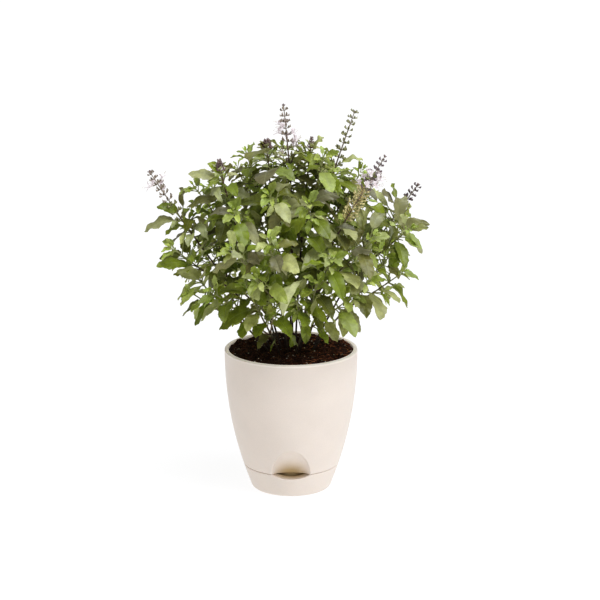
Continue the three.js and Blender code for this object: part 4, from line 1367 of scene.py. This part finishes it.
for shoot in shoots:
    add_leafy_stem(*shoot)
for number, top, paths, _, _ in shoots:
    if top:
        kind, tip = top
        add_one = add_spike if kind == "spike" else add_bud_head
        add_one(number, paths[0].point(1), vec(tip))
add_pot()
add_saucer()
add_soil()


# ---- Stage, light and camera ----
FLOOR_REACH = 6  # metres to each side
SUN_COLOUR = (0.95, 1.0, 1.08)
SKY_STRENGTH = 0.4
AIM = Vector((0.00636, 0, 0.137))
CAMERA_DISTANCE, CAMERA_LENS, SENSOR_WIDTH = 1.4133, 120, 36
CAMERA_ELEVATION = math.radians(14.1)


def floor_material():
    """A grey that gives off light, as a light table does, so that shadows stay faint."""
    s = Shader("floor")
    shade = s.varied(3.0, 0.11, 0.13)
    grey = s.node("ShaderNodeCombineColor", {0: shade, 1: shade, 2: shade}).outputs[0]
    return s.finish(s.surface(grey, 0.9, {"Emission Color": (1, 1, 1, 1), "Emission Strength": 0.9}))


def add_floor():
    mesh = bpy.data.meshes.new("floor")
    corners = [(x * FLOOR_REACH, y * FLOOR_REACH, 0) for x, y in ((-1, -1), (1, -1), (1, 1), (-1, 1))]
    mesh.from_pydata(corners, [], [(0, 1, 2, 3)])
    mesh.materials.append(floor_material())
    put("floor", mesh)


def face_from(thing, way):
    """Turns a lamp or camera to look back along a direction."""
    thing.rotation_mode = "QUATERNION"
    thing.rotation_quaternion = way.to_track_quat("Z", "Y")


def add_sun(name, azimuth, elevation, strength, softness):
    """A broad soft light from a side, in degrees from the front, and a height."""
    sun = bpy.data.lights.new(name, "SUN")
    sun.energy, sun.angle, sun.color = strength, math.radians(softness), SUN_COLOUR
    azimuth, elevation = math.radians(azimuth), math.radians(elevation)
    flat = math.cos(elevation)
    way = Vector((math.sin(azimuth) * flat, -math.cos(azimuth) * flat, math.sin(elevation)))
    face_from(put(name, sun), way)


add_floor()
add_sun("key", azimuth=57, elevation=40, strength=0.75, softness=25)
add_sun("top", azimuth=57, elevation=70, strength=2.4, softness=50)
world = bpy.data.worlds.new("studio")
world.use_nodes = True
background = world.node_tree.nodes["Background"]
background.inputs[0].default_value = (1, 1, 1, 1)
background.inputs[1].default_value = SKY_STRENGTH
bpy.context.scene.world = world
view = bpy.context.scene.view_settings
view.view_transform = "Standard"
# The camera's tones: the darkest ones a little deeper, as in the photo.
view.use_curve_mapping = True
for given, shown in ((0.03, 0.02), (0.1, 0.088), (0.3, 0.298)):
    view.curve_mapping.curves[3].points.new(given, shown)
view.curve_mapping.update()

camera_data = bpy.data.cameras.new("camera")
camera_data.lens, camera_data.sensor_width = CAMERA_LENS, SENSOR_WIDTH
camera = put("camera", camera_data)
back = Vector((0, -math.cos(CAMERA_ELEVATION), math.sin(CAMERA_ELEVATION)))
camera.location = AIM + back * CAMERA_DISTANCE
face_from(camera, back)
bpy.context.scene.camera = camera
